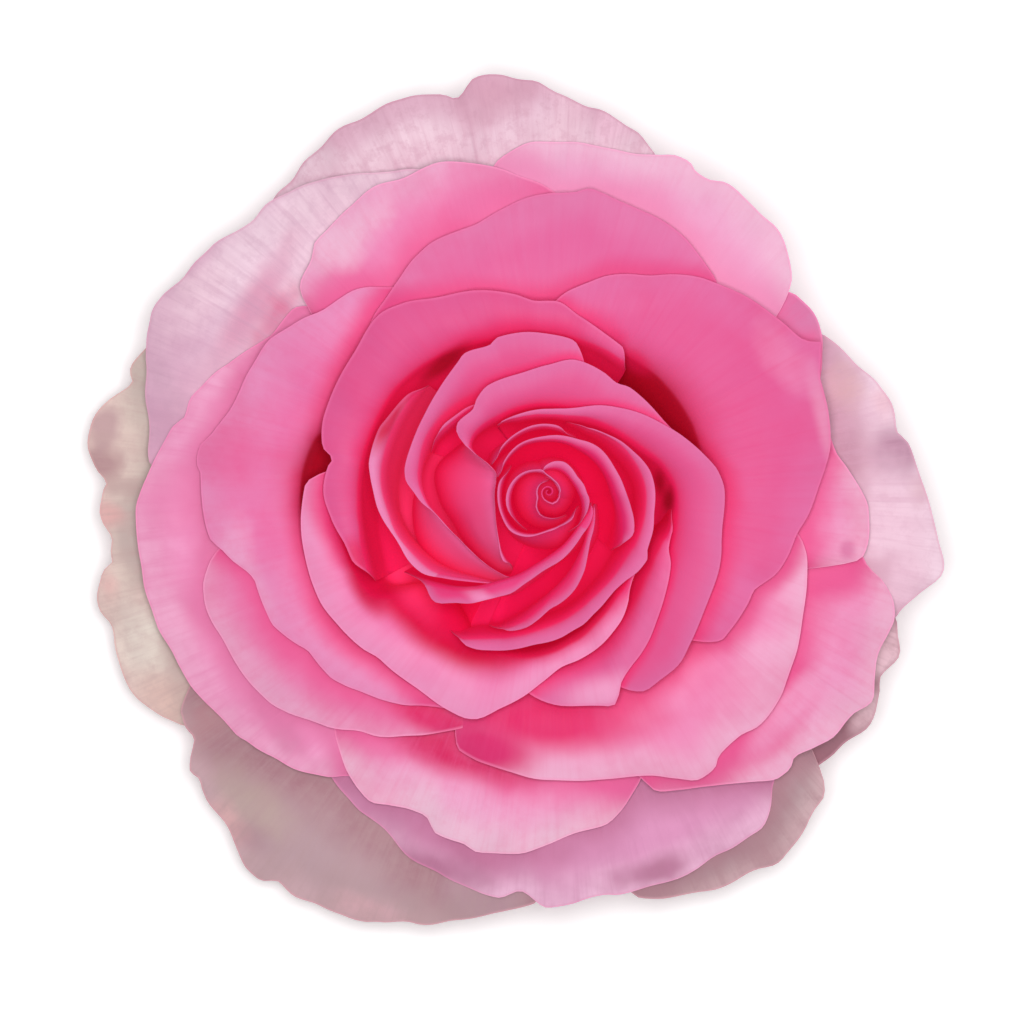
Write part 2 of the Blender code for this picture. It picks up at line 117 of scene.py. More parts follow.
class Whorl(Enum):
    """Rings of petals, from the heart outwards. The value begins the names of its petals."""
    BUD = "bud"
    INNER = "inner"
    MIDDLE = "middle"
    OUTER = "outer"
    GUARD = "guard"


@dataclass(frozen=True)
class BladeStyle:
    """How the blades of one whorl are cut and how much they are worked.

    full_width_at is how far up from the claw a blade has its full width. thickness and margin are
    the blade's thickness in its middle and at its rim. crinkle, frill and roll are the depth of
    the puckers, of the waves along the rim and of the rim's turning down. tuck is the length of
    the rounded corners, where the rim runs back down to the claw.
    """
    full_width_at: float
    thickness: float
    margin: float
    crinkle: float
    frill: float
    roll: float
    tuck: float
    rows: int = 46
    spacing: float = 0.6


STYLES = {
    Whorl.BUD: BladeStyle(0.06, 0.22, 0.08, 0.03, 0.03, 0.10, 2.5, 46, 0.35),
    Whorl.INNER: BladeStyle(0.06, 0.26, 0.08, 0.07, 0.08, 0.25, 6.0, 46, 0.45),
    Whorl.MIDDLE: BladeStyle(0.06, 0.30, 0.08, 0.16, 0.20, 0.50, 9.0, 46, 0.6),
    Whorl.OUTER: BladeStyle(0.12, 0.30, 0.08, 0.28, 0.36, 0.90, 8.0, 46, 0.65),
    Whorl.GUARD: BladeStyle(0.30, 0.30, 0.08, 0.45, 0.60, 1.30, 8.0, 48, 0.65),
}


@dataclass(frozen=True)
class PetalForm:
    """Outline of one petal, as tables of (azimuth, radius).

    rim is the free edge, fold is where the blade turns from its wall into its lip, and wall is
    the radius of its standing wall. seat is the azimuth of its claw. tucks are the lengths of its
    two rounded corners, where they aren't those of its whorl. stand is where its wall stands, if
    that isn't where the solid's does, and wall still sets its height.
    """
    name: str
    seat: float
    wall: Table
    fold: Table
    rim: Table
    tucks: Optional[tuple[float, float]] = None
    stand: Optional[Table] = None

    @property
    def whorl(self) -> Whorl:
        """The ring that the petal belongs to."""
        return Whorl(self.name.split("_")[0])

    @property
    def style(self) -> BladeStyle:
        """How the blade is cut."""
        return STYLES[self.whorl]

    @property
    def corners(self) -> tuple[float, float]:
        """Lengths of the first and the last rounded corner."""
        return self.tucks or (self.style.tuck, self.style.tuck)

    def nearest(self, azimuth: np.ndarray) -> np.ndarray:
        """The same azimuths, turned by whole turns to lie nearest the petal's middle."""
        middle = 0.5 * (self.rim[0][0] + self.rim[-1][0])
        return middle + (azimuth - middle + 180.0) % 360.0 - 180.0


PETALS = (
    PetalForm(
        "bud_petal_1", 190,
        ((110, 3.1), (160, 4.2), (200, 4.5), (290, 4.9)),
        ((110, 1.1), (205, 1.0), (230, 1.9), (250, 2.7), (290, 3.3)),
        ((110, 1.6), (150, 1.5), (205, 1.6), (220, 2.0), (230, 2.5), (240, 2.9), (250, 3.3),
         (260, 3.6), (270, 3.8), (280, 4.1), (290, 4.0))),
    PetalForm(
        "bud_petal_2", 110,
        ((-6, 3.5), (80, 3.9), (104, 4.0), (120, 4.5), (160, 5.4), (230, 5.9)),
        ((-6, 1.1), (60, 1.1), (97, 1.7), (120, 2.5), (160, 3.9), (200, 4.9), (230, 5.5)),
        ((-6, 1.6), (20, 1.6), (60, 1.7), (80, 1.95), (97, 2.4), (104, 2.9), (120, 3.3),
         (140, 4.0), (160, 4.7), (180, 5.3), (200, 5.75), (222, 6.2), (230, 6.2))),
    PetalForm(
        "bud_petal_3", 0,
        ((-46, 6.2), (-20, 5.3), (0, 4.7), (60, 4.6), (104, 4.3)),
        ((-46, 5.6), (-20, 4.3), (0, 3.4), (20, 2.8), (60, 2.5), (104, 2.3)),
        ((-46, 6.8), (-30, 6.3), (-20, 5.8), (-10, 5.4), (0, 4.9), (10, 4.7), (20, 4.4), (30, 4.2),
         (50, 4.3), (60, 4.35), (70, 4.2), (80, 3.95), (90, 3.6), (98, 3.3), (104, 3.0)),
        (4.0, 1.1)),
    PetalForm(
        "bud_petal_4", 250,
        ((156, 6.4), (200, 6.7), (240, 7.4), (280, 7.2), (300, 6.0), (320, 4.9)),
        ((156, 5.6), (190, 5.9), (225, 6.2), (250, 5.4), (280, 4.2), (320, 4.0)),
        ((156, 6.4), (175, 6.5), (190, 6.6), (210, 6.8), (225, 7.0), (240, 6.6), (250, 6.1),
         (260, 5.5), (270, 5.1), (280, 4.9), (290, 4.7), (300, 4.7), (320, 4.7))),
    PetalForm(
        "bud_petal_5", 60,
        ((-37, 9.9), (-10, 8.7), (0, 8.0), (40, 7.5), (80, 7.1), (120, 7.0), (153, 7.8)),
        ((-37, 11.6), (-10, 8.7), (0, 8.1), (20, 7.3), (60, 6.3), (90, 6.3), (120, 6.6),
         (153, 6.4)),
        ((-37, 12.7), (-30, 12.5), (-20, 11.8), (-10, 10.8), (0, 10.0), (10, 9.5), (20, 9.1),
         (40, 8.7), (50, 8.3), (60, 7.8), (80, 7.4), (100, 7.15), (120, 7.2), (140, 7.0),
         (153, 6.8))),
    PetalForm(
        "bud_petal_6", 112,
        ((72, 8.2), (120, 8.3), (146, 9.0)),
        ((72, 7.7), (100, 8.2), (146, 7.8)),
        ((72, 8.2), (80, 8.6), (100, 8.8), (120, 8.6), (140, 8.3), (146, 8.1))),
    PetalForm(
        "bud_petal_7", 285,
        ((206, 21.2), (220, 17.0), (240, 13.0), (250, 12.0), (262, 10.8), (280, 9.0), (300, 8.0),
         (320, 7.0), (341, 6.0)),
        ((206, 22.6), (220, 18.0), (230, 15.2), (240, 12.0), (250, 9.8), (260, 8.4), (280, 6.8),
         (300, 5.6), (320, 5.1), (334, 5.3), (341, 5.5)),
        ((213, 22.0), (216, 21.5), (220, 21.1), (225, 20.3), (230, 18.7), (235, 17.6), (240, 16.1),
         (245, 14.9), (250, 13.9), (255, 12.4), (260, 11.3), (265, 10.4), (270, 9.8), (280, 9.0),
         (290, 8.2), (300, 7.5), (310, 7.0), (320, 6.8), (334, 6.4), (341, 6.0)),
        (3.0, 1.0),
        ((206, 21.2), (220, 19.0), (240, 16.4), (250, 15.2), (262, 12.0), (280, 9.2), (300, 8.2),
         (320, 7.3), (341, 6.1))),
    PetalForm(
        "bud_petal_8", 308,
        ((249, 18.4), (256, 16.4), (265, 14.2), (280, 12.0), (300, 9.8), (320, 8.4), (334, 7.2),
         (341, 6.7)),
        ((249, 19.0), (256, 17.2), (265, 14.4), (275, 12.0), (285, 10.2), (295, 8.6), (310, 7.0),
         (320, 6.2), (334, 5.8), (341, 6.0)),
        ((249, 19.2), (252, 19.1), (256, 18.5), (261, 17.7), (266, 16.4), (271, 15.1), (275, 14.6),
         (280, 13.9), (285, 13.1), (290, 12.1), (295, 11.1), (300, 10.0), (305, 9.1), (310, 8.4),
         (320, 7.6), (334, 6.7), (341, 6.3)),
        (2.0, 1.0)),
    PetalForm(
        "inner_petal_1", 180,
        ((18, 13.7), (40, 12.1), (80, 10.8), (120, 10.9), (140, 11.7), (155, 13.2), (170, 14.8),
         (185, 14.0), (200, 12.8), (248, 12.1)),
        ((18, 15.0), (40, 13.2), (80, 11.2), (110, 11.4), (140, 11.8), (150, 10.9), (161, 6.9),
         (190, 6.8), (226, 8.8), (248, 10.6)),
        ((18, 18.6), (24, 18.4), (28, 17.8), (35, 17.4), (45, 17.2), (52, 17.1), (58, 16.6),
         (65, 17.0), (78, 17.4), (90, 16.4), (105, 15.7), (119, 15.8), (127, 15.2), (133, 14.4),
         (142, 14.7), (146, 14.3), (150, 12.7), (152, 11.2), (155, 8.5), (161, 7.1), (170, 6.9),
         (190, 7.0), (200, 7.3), (213, 8.0), (226, 9.2), (233, 10.2), (240, 11.0)),
        (2.0, 2.0)),
    PetalForm(
        "inner_petal_2", 142,
        ((124, 12.9), (140, 14.2), (156, 15.7)),
        ((124, 14.1), (140, 14.9), (156, 16.1)),
        ((124, 14.5), (129, 14.9), (140, 15.5), (149, 16.2), (156, 16.6)),
        (4.0, 3.0)),
    PetalForm(
        "inner_petal_3", 335,
        ((-123, 21.2), (-116, 19.4), (-110, 18.7), (-100, 17.0), (-80, 15.0), (-60, 12.9),
         (-40, 11.6), (0, 11.2), (20, 10.2), (34, 9.4), (58, 8.9)),
        ((-123, 22.2), (-116, 21.0), (-110, 19.9), (-90, 17.3), (-60, 14.0), (-30, 13.0),
         (0, 12.4), (34, 10.9), (58, 9.5)),
        ((-123, 22.4), (-120, 22.6), (-115, 22.4), (-110, 21.8), (-105, 21.2), (-100, 20.5),
         (-95, 19.8), (-90, 19.4), (-85, 18.9), (-80, 18.2), (-75, 17.7), (-70, 16.9), (-65, 16.3),
         (-60, 15.7), (-55, 15.3), (-50, 15.2), (-40, 15.5), (-35, 15.5), (-30, 14.8), (-20, 14.4),
         (-10, 13.9), (0, 13.8), (10, 13.5), (20, 12.7), (25, 12.2), (30, 11.8), (34, 11.5),
         (46, 10.5), (58, 9.8)),
        (2.0, 6.0)),
    PetalForm(
        "inner_petal_4", 105,
        ((70, 12.1), (80, 12.3), (120, 13.3), (140, 14.5), (155, 15.7), (170, 16.6), (200, 18.0),
         (220, 16.2), (230, 14.9), (246, 13.3)),
        ((70, 15.0), (100, 15.8), (150, 17.2), (170, 16.6), (190, 14.4), (210, 12.6), (246, 11.8)),
        ((70, 17.5), (73, 17.9), (77, 19.1), (80, 19.8), (90, 20.4), (100, 20.9), (108, 21.0),
         (112, 20.4), (121, 20.9), (125, 20.4), (130, 19.9), (140, 19.2), (150, 18.8), (160, 18.7),
         (170, 18.8), (175, 18.5), (180, 17.4), (185, 16.4), (190, 15.1), (200, 13.8), (210, 12.9),
         (220, 12.5), (245, 12.2)),
        (6.0, 1.0)),
    PetalForm(
        "inner_petal_5", 195,
        ((132, 15.6), (160, 17.6), (180, 19.0), (200, 20.2), (220, 17.7), (230, 16.4),
         (247, 14.6)),
        ((132, 21.0), (170, 21.7), (190, 20.5), (210, 18.3), (230, 14.6), (247, 12.8)),
        ((142, 22.2), (145, 22.2), (150, 22.5), (155, 22.9), (160, 23.4), (170, 23.5), (175, 23.1),
         (180, 22.6), (185, 22.2), (190, 21.6), (195, 20.9), (200, 20.4), (205, 20.2), (212, 19.5),
         (220, 17.4), (230, 15.2), (240, 13.7), (246, 13.1)),
        (3.0, 1.0),
        ((132, 19.6), (170, 20.4), (190, 19.4), (210, 17.2), (230, 14.4), (247, 13.2))),
    PetalForm(
        "inner_petal_6", 0,
        ((-76, 20.4), (-40, 15.4), (0, 13.6), (20, 12.0), (40, 10.5), (80, 9.5), (110, 9.7),
         (124, 10.7)),
        ((-76, 24.0), (-32, 18.8), (-12, 17.4), (0, 16.8), (12, 15.4), (25, 13.4), (40, 12.0),
         (60, 10.6), (80, 9.6), (100, 9.7), (112, 10.1), (124, 10.8)),
        ((-76, 27.5), (-72, 28.7), (-65, 28.7), (-59, 28.3), (-54, 28.1), (-46, 26.7), (-37, 25.3),
         (-32, 24.8), (-25, 24.3), (-20, 23.8), (-15, 23.2), (-10, 22.9), (0, 22.8), (7, 22.1),
         (13, 20.8), (19, 19.5), (24, 18.5), (30, 17.3), (40, 15.7), (50, 14.2), (60, 12.9),
         (65, 12.2), (72, 11.4), (80, 10.9), (90, 10.7), (106, 10.7), (124, 10.9)),
        (6.0, 1.5),
        ((-76, 20.4), (-40, 16.4), (-12, 15.8), (0, 15.6), (12, 14.4), (25, 12.3), (40, 11.0),
         (80, 9.5), (110, 9.7), (124, 10.7))),
    PetalForm(
        "middle_petal_1", 140,
        ((54, 13.5), (80, 13.9), (120, 15.6), (140, 17.1), (160, 19.4), (180, 20.9), (210, 22.5)),
        ((54, 18.8), (80, 20.4), (100, 21.2), (122, 22.6), (150, 24.5), (190, 25.0), (210, 25.5)),
        ((61, 20.9), (70, 21.7), (80, 23.1), (88, 24.7), (93, 24.7), (100, 26.0), (110, 27.7),
         (120, 29.0), (128, 30.9), (134, 31.7), (145, 30.9), (160, 30.7), (168, 29.9), (170, 29.1),
         (171, 28.1), (173, 28.6), (180, 29.1), (187, 28.3), (195, 27.1), (200, 26.9),
         (203, 26.9)),
        (2.5, 4.0),
        ((54, 17.4), (70, 18.4), (100, 19.2), (115, 20.2), (122, 20.9), (134, 22.1), (150, 22.9),
         (190, 23.8), (210, 24.4))),
    PetalForm(
        "middle_petal_2", 225,
        ((160, 21.0), (180, 22.3), (200, 23.6), (220, 22.3), (240, 21.3), (260, 19.1), (280, 17.2),
         (300, 14.8), (320, 12.9)),
        ((160, 26.6), (190, 28.3), (215, 27.8), (229, 26.6), (240, 24.3), (260, 22.1), (280, 19.5),
         (300, 16.2), (320, 14.1)),
        ((174, 31.0), (180, 31.6), (190, 32.4), (205, 32.8), (212, 32.2), (220, 31.5), (225, 30.7),
         (235, 30.6), (245, 31.1), (249, 31.2), (252, 30.9), (254, 30.3), (257, 28.9), (260, 27.8),
         (263, 26.7), (268, 24.7), (275, 22.6), (280, 22.1), (285, 21.5), (290, 20.8), (295, 19.9),
         (300, 19.0), (305, 17.8), (310, 16.4), (315, 15.6), (320, 15.2)),
        (3.0, 9.0),
        ((160, 23.5), (190, 26.0), (209, 25.0), (217, 19.6), (228, 18.4), (236, 19.4), (243, 20.6),
         (252, 20.4), (260, 20.4), (280, 18.2), (300, 15.4), (320, 13.3))),
    PetalForm(
        "middle_petal_3", 290,
        ((258, 20.7), (280, 19.2), (300, 16.5), (320, 14.4), (335, 14.2), (346, 15.2)),
        ((258, 24.0), (280, 23.2), (300, 20.5), (320, 17.4), (335, 16.0), (346, 16.4)),
        ((258, 27.5), (262, 27.8), (270, 27.7), (280, 28.1), (284, 28.5), (287, 28.9),
         (288.5, 28.3), (291, 26.4), (295, 25.1), (300, 24.1), (305, 23.0), (310, 21.8),
         (315, 20.8), (320, 19.9), (325, 19.1), (330, 18.3), (335, 17.2), (340, 16.9),
         (346, 16.8)),
        (9.0, 4.0)),
    PetalForm(
        "middle_petal_4", 20,
        ((-49, 18.0), (-20, 16.6), (0, 16.4), (40, 15.6), (91, 15.8)),
        ((-49, 23.0), (0, 22.2), (30, 22.2), (60, 21.8), (91, 20.6)),
        ((-49, 27.0), (-45, 28.2), (-42, 29.1), (-40, 29.6), (-30, 29.6), (-26, 29.5), (-23, 30.3),
         (-20, 31.3), (-15, 32.1), (-10, 32.6), (-5, 33.8), (0, 34.8), (5, 36.0), (10, 37.1),
         (15, 37.6), (20, 38.0), (23, 38.2), (25, 38.9), (28, 40.0), (29, 40.4), (30, 39.0),
         (32, 38.1), (35, 37.6), (40, 36.8), (45, 35.9), (49, 35.1), (55, 33.9), (60, 32.5),
         (65, 30.9), (70, 30.0), (75, 28.9), (80, 27.3), (85, 26.0), (91, 25.0)),
        stand=((-49, 18.0), (-20, 17.4), (0, 18.0), (25, 18.9), (60, 18.7), (91, 17.5))),
    PetalForm(
        "middle_petal_5", 82,
        ((44, 17.2), (80, 17.5), (130, 18.6), (142, 18.8)),
        ((44, 25.0), (142, 25.0)),
        ((44, 34.0), (50, 34.8), (52, 35.1), (58, 36.4), (62, 37.4), (68, 38.2), (75, 38.6),
         (80, 39.4), (82, 39.7), (85, 39.0), (92, 38.5), (95, 38.0), (100, 36.9), (106, 35.8),
         (114, 35.6), (120, 34.8), (125, 33.6), (130, 32.7), (134, 32.2), (138, 31.4),
         (142, 30.6)),
        (9.0, 4.0),
        ((44, 21.2), (70, 20.6), (91, 20.2), (110, 21.2), (122, 22.2), (142, 23.6))),
    PetalForm(
        "middle_petal_6", 178,
        ((121, 19.8), (140, 20.6), (164, 22.3), (200, 24.5), (220, 23.8), (250, 23.0)),
        ((121, 29.0), (140, 31.6), (165, 32.6), (175, 33.4), (190, 33.4), (205, 33.5),
         (250, 28.0)),
        ((121, 32.5), (127, 33.3), (129, 34.1), (131, 35.2), (134, 36.3), (138, 36.9), (141, 37.4),
         (145, 39.0), (148, 40.0), (152, 41.3), (157, 41.7), (165, 42.5), (170, 44.2), (173, 45.8),
         (175, 45.9), (177, 45.2), (183, 44.9), (188, 44.3), (190, 43.0), (192, 42.0), (195, 40.3),
         (197, 39.7), (205, 39.7), (208, 39.0), (211, 38.1), (214, 37.2), (220, 37.1), (223, 36.5),
         (227, 35.4), (232, 34.3), (236, 33.3), (240, 32.0), (244, 31.1), (250, 30.5)),
        stand=((121, 22.6), (140, 23.8), (160, 25.0), (168, 29.4), (183, 30.8), (194, 27.0),
               (220, 23.8), (250, 23.0))),
    PetalForm(
        "middle_petal_7", 305,
        ((243, 25.0), (250, 24.6), (258, 23.2), (266, 22.0), (280, 21.8), (320, 19.6),
         (355, 17.9)),
        ((243, 27.2), (252, 27.4), (290, 29.0), (320, 28.5), (355, 24.5)),
        ((247, 34.9), (255, 36.0), (262, 36.6), (267, 37.2), (275, 37.6), (283, 38.1), (290, 39.1),
         (294, 40.6), (298, 42.1), (301, 41.9), (303, 40.8), (308, 40.2), (312, 40.8), (318, 40.3),
         (322, 39.3), (328, 38.1), (334, 36.7), (340, 35.6), (346, 34.5), (350, 33.3),
         (355, 32.5)),
        (5.0, 8.0)),
    PetalForm(
        "outer_petal_1", 115,
        ((82, 19.0), (100, 19.8), (121, 21.0), (147, 23.0)),
        ((82, 28.0), (115, 29.0), (147, 30.0)),
        ((82, 37.5), (88, 38.7), (92, 40.2), (95, 41.2), (100, 43.0), (103, 43.8), (109, 45.0),
         (114, 44.9), (120, 45.4), (125, 45.1), (130, 44.6), (133, 44.2), (135, 43.2), (140, 42.0),
         (141.5, 41.1), (143, 39.8), (147, 38.0))),
    PetalForm(
        "outer_petal_2", 230,
        ((185, 25.6), (220, 24.6), (259, 24.0)),
        ((185, 36.0), (205, 36.5), (230, 33.5), (259, 29.0)),
        ((185, 43.0), (189, 44.2), (192, 45.0), (195, 46.3), (198, 46.8), (205, 46.4), (213, 46.0),
         (217, 45.5), (220, 44.5), (224, 42.8), (227, 41.7), (232, 39.4), (235, 38.6), (240, 36.4),
         (245, 34.5), (250, 32.5), (254, 30.9), (259, 30.0))),
    PetalForm(
        "outer_petal_3", 192,
        ((140, 24.2), (160, 24.3), (200, 26.8), (240, 27.1)),
        ((140, 33.0), (165, 36.0), (200, 38.5), (240, 36.0)),
        ((140, 40.0), (145, 40.8), (150, 41.2), (152, 41.9), (155, 43.3), (158, 44.6), (160, 45.8),
         (163, 47.1), (166, 48.1), (168, 48.1), (170, 49.4), (175, 51.1), (180, 52.8), (183, 53.6),
         (190, 53.7), (198, 53.7), (203, 53.2), (208, 52.9), (213, 51.9), (218, 51.5), (220, 50.6),
         (225, 49.5), (229, 48.2), (232, 46.9), (235, 45.0), (240, 44.0)),
        stand=((140, 24.2), (158, 25.0), (169, 31.2), (182, 31.8), (196, 28.0), (240, 27.1))),
    PetalForm(
        "outer_petal_4", 253,
        ((223, 26.2), (245, 25.6), (292, 24.0)),
        ((223, 36.5), (245, 35.5), (292, 33.0)),
        ((223, 40.0), (228, 41.6), (231, 43.0), (235, 45.0), (240, 46.3), (243, 45.5), (247, 44.9),
         (249, 45.0), (252, 46.9), (256, 46.8), (259, 47.7), (263, 47.3), (270, 45.9), (275, 44.3),
         (280, 43.7), (283, 42.3), (287, 39.8), (292, 39.0))),
    PetalForm(
        "outer_petal_5", 322,
        ((284, 22.8), (320, 22.0), (354, 21.1)),
        ((284, 31.5), (320, 32.0), (354, 29.0)),
        ((284, 38.0), (288, 39.4), (290, 41.3), (295, 42.6), (300, 43.9), (305, 45.8), (309, 47.6),
         (311, 47.7), (313, 46.9), (316, 47.7), (320, 48.8), (324, 49.1), (327, 50.0), (330, 48.8),
         (335, 47.8), (339, 47.8), (342, 47.1), (345, 45.1), (347, 42.6), (350, 41.2),
         (354, 40.0))),
    PetalForm(
        "outer_petal_6", 10,
        ((-19, 19.5), (15, 19.8), (46, 21.6)),
        ((-19, 27.5), (15, 28.0), (46, 30.0)),
        ((-19, 39.5), (-15, 40.0), (-12, 41.6), (-7, 42.0), (-3, 41.7), (0, 40.8), (4, 39.0),
         (8, 37.6), (14, 37.0), (20, 37.5), (26, 39.5), (30, 41.0), (34, 41.5), (38, 41.0),
         (42, 40.6), (46, 39.5)),
        stand=((-19, 19.5), (15, 21.6), (46, 22.6))),
    PetalForm(
        "outer_petal_7", 62,
        ((35, 19.0), (80, 20.6), (105, 21.8)),
        ((35, 27.5), (70, 29.0), (105, 31.0)),
        ((35, 40.0), (39, 40.8), (42, 42.6), (46, 44.2), (50, 45.4), (56, 45.8), (60, 46.3),
         (63, 45.6), (65, 45.7), (67, 46.6), (69, 46.7), (72, 45.9), (78, 45.2), (86, 45.5),
         (92, 45.4), (97, 44.2), (100, 43.0), (105, 42.0)),
        stand=((35, 21.9), (80, 21.4), (105, 21.8))),
    PetalForm(
        "outer_petal_8", 275,
        ((228, 28.5), (250, 27.5), (270, 26.6), (313, 24.6)),
        ((228, 38.8), (270, 37.5), (313, 34.0)),
        ((228, 45.0), (232, 46.2), (236, 47.5), (243, 48.6), (249, 50.7), (255, 51.7), (261, 53.0),
         (263, 53.2), (266, 52.1), (270, 54.2), (273, 53.7), (278, 52.8), (280, 53.2), (288, 53.1),
         (295, 52.1), (302, 51.7), (305, 50.3), (308, 47.6), (313, 46.0))),
    PetalForm(
        "guard_petal_1", 140,
        ((98, 22.0), (120, 23.2), (140, 25.5), (160, 26.0), (181, 27.4)),
        ((98, 32.0), (145, 36.0), (181, 39.0)),
        ((98, 42.4), (103, 43.2), (108, 44.2), (112, 45.1), (118, 47.1), (122, 48.8), (128, 50.8),
         (132, 51.9), (137, 52.3), (142, 53.8), (148, 54.7), (153, 56.3), (155, 56.4), (158, 56.2),
         (161, 55.5), (165, 54.2), (170, 53.0), (174, 52.1), (177, 51.6), (181, 50.5))),
    PetalForm(
        "guard_petal_2", 96,
        ((68, 22.0), (96, 23.8), (108, 26.4), (120, 27.6), (139, 29.6)),
        ((68, 31.0), (105, 33.0), (139, 38.5)),
        ((68, 44.0), (72, 45.9), (76, 48.1), (80, 49.5), (84, 50.3), (88, 51.7), (92, 53.7),
         (98, 54.5), (100, 54.3), (103, 52.5), (105, 53.6), (110, 54.5), (118, 54.7), (125, 53.4),
         (130, 52.5), (134, 52.0), (139, 50.5)),
        stand=((68, 22.0), (100, 23.2), (120, 24.9), (139, 27.2))),
    PetalForm(
        "guard_petal_3", 186,
        ((154, 30.2), (180, 31.6), (200, 31.6), (217, 31.2)),
        ((154, 38.0), (185, 41.5), (217, 44.0)),
        ((154, 54.0), (158, 55.3), (161, 56.0), (164, 56.8), (165, 56.2), (168, 58.2), (170, 59.3),
         (174, 60.0), (177, 58.6), (178.7, 57.5), (180, 58.3), (182, 58.5), (184, 57.7),
         (186, 56.8), (188, 57.4), (189.2, 57.4), (190, 58.8), (191, 59.4), (195, 60.5),
         (197, 59.8), (202, 60.2), (206, 59.9), (210, 58.5), (213, 56.3), (217, 54.0)),
        stand=((154, 27.8), (180, 29.2), (200, 30.0), (217, 31.2))),
    PetalForm(
        "guard_petal_4", 236,
        ((206, 28.4), (228, 29.6), (272, 28.5)),
        ((206, 40.0), (240, 41.5), (272, 40.0)),
        ((206, 51.0), (208, 52.4), (210, 54.8), (211, 55.9), (213, 56.4), (214.6, 56.1),
         (216.6, 57.9), (218, 58.8), (219.2, 58.5), (221, 59.6), (222.6, 60.3), (225, 60.4),
         (229, 61.4), (231.5, 62.6), (233.3, 63.0), (235.5, 61.6), (238.4, 61.8), (244.6, 61.0),
         (247, 60.8), (248.6, 60.1), (253.5, 58.6), (259.4, 56.5), (263.5, 55.1), (267.8, 53.3),
         (272, 51.0)),
        (2.5, 8.0)),
    PetalForm(
        "guard_petal_5", 300,
        ((277, 28.2), (300, 26.8), (319, 25.8)),
        ((277, 38.0), (319, 36.0)),
        ((277, 51.0), (281, 53.0), (283, 54.0), (288, 55.4), (295, 56.2), (299, 56.0), (302, 56.6),
         (306, 55.5), (312, 53.6), (314, 51.7), (315, 50.4), (319, 48.5))),
    PetalForm(
        "guard_petal_6", 332,
        ((308, 29.0), (319, 28.0), (346, 25.4)),
        ((308, 39.5), (346, 35.0)),
        ((308, 48.5), (312, 49.6), (315, 50.3), (319, 50.6), (324, 51.5), (329, 50.3), (331, 49.4),
         (335, 50.2), (338, 49.0), (340, 48.1), (346, 46.0))),
    PetalForm(
        "guard_petal_7", 2,
        ((-26, 23.5), (0, 22.6), (35, 23.6)),
        ((-26, 32.0), (5, 31.0), (35, 32.0)),
        ((-26, 46.0), (-22, 47.7), (-19, 48.2), (-15, 50.2), (-11, 52.1), (-7, 51.0), (0, 49.1),
         (5, 47.8), (8, 46.9), (10, 45.9), (14, 46.1), (18, 45.1), (22, 43.7), (26, 42.6),
         (30, 41.0), (35, 39.0))),
)


# Surfaces

def table_value(points: Table, azimuth: np.ndarray) -> np.ndarray:
    """Values of a monotone cubic that passes the listed points.

    Args:
        points: (azimuth, value) pairs in rising order.
        azimuth: where to read it, in degrees.

    Returns:
        One value for each azimuth.
    """
    x = np.array([point[0] for point in points], dtype=float)
    y = np.array([point[1] for point in points], dtype=float)
    step = np.diff(x)
    slope = np.diff(y) / step
    tangent = np.empty_like(y)
    tangent[0], tangent[-1] = slope[0], slope[-1]
    for i in range(1, len(x) - 1):
        if slope[i - 1] * slope[i] <= 0:
            tangent[i] = 0.0
        else:
            before = 2 * step[i] + step[i - 1]
            after = step[i] + 2 * step[i - 1]
            tangent[i] = (before + after) / (before / slope[i - 1] + after / slope[i])
    azimuth = np.clip(azimuth, x[0], x[-1])
    i = np.clip(np.searchsorted(x, azimuth, side="right") - 1, 0, len(x) - 2)
    t = (azimuth - x[i]) / step[i]
    return ((1 + 2 * t) * (1 - t) ** 2 * y[i] + t * (1 - t) ** 2 * step[i] * tangent[i]
            + t * t * (3 - 2 * t) * y[i + 1] + t * t * (t - 1) * step[i] * tangent[i + 1])


def smooth(low: float, high: float, value: np.ndarray) -> np.ndarray:
    """A soft step from 0 at low to 1 at high."""
    share = np.clip((value - low) / (high - low), 0.0, 1.0)
    return share * share * (3 - 2 * share)


def spline_weights(t: np.ndarray) -> list[np.ndarray]:
    """Weights of the five controls of a clamped quadratic B-spline.

    Args:
        t: places along it, from 0 to 1.

    Returns:
        Five arrays shaped as t.
    """
    knots = (0.0, 0.0, 0.0, 1 / 3, 2 / 3, 1.0, 1.0, 1.0)
    t = np.clip(t, 0.0, 1.0 - 1e-9)
    weights = [((knots[i] <= t) & (t < knots[i + 1])).astype(float) for i in range(7)]
    for degree in (1, 2):
        for i in range(7 - degree):
            rise = knots[i + degree] - knots[i]
            fall = knots[i + degree + 1] - knots[i + 1]
            up = (t - knots[i]) / rise * weights[i] if rise else 0.0
            down = (knots[i + degree + 1] - t) / fall * weights[i + 1] if fall else 0.0
            weights[i] = up + down
    return weights[:5]


def seat_point(wall: np.ndarray) -> tuple[np.ndarray, np.ndarray]:
    """Where a claw stands over the dome.

    Args:
        wall: radius of the petal's wall.

    Returns:
        The claw's radius and height.
    """
    share = (wall - WALL_FIRST) / (WALL_LAST - WALL_FIRST)
    angle = np.radians(SEAT_FIRST_ANGLE + share * (SEAT_LAST_ANGLE - SEAT_FIRST_ANGLE))
    return CLAW_REACH * np.sin(angle), DOME_CENTRE + CLAW_REACH * np.cos(angle)


def crown_height(wall: np.ndarray) -> np.ndarray:
    """Height at which a petal with this wall radius turns over."""
    inner = CROWN_HEIGHT - CROWN_FALL_INNER * (np.minimum(wall, WALL_MIDDLE) - WALL_FIRST)
    return inner - CROWN_FALL_OUTER * np.maximum(wall - WALL_MIDDLE, 0)


def lip_drop(radius: np.ndarray) -> np.ndarray:
    """How far a lip at this radius has sunk below the crown of its petal."""
    return DROOP * np.maximum(radius - DROOP_START, 0) ** 2


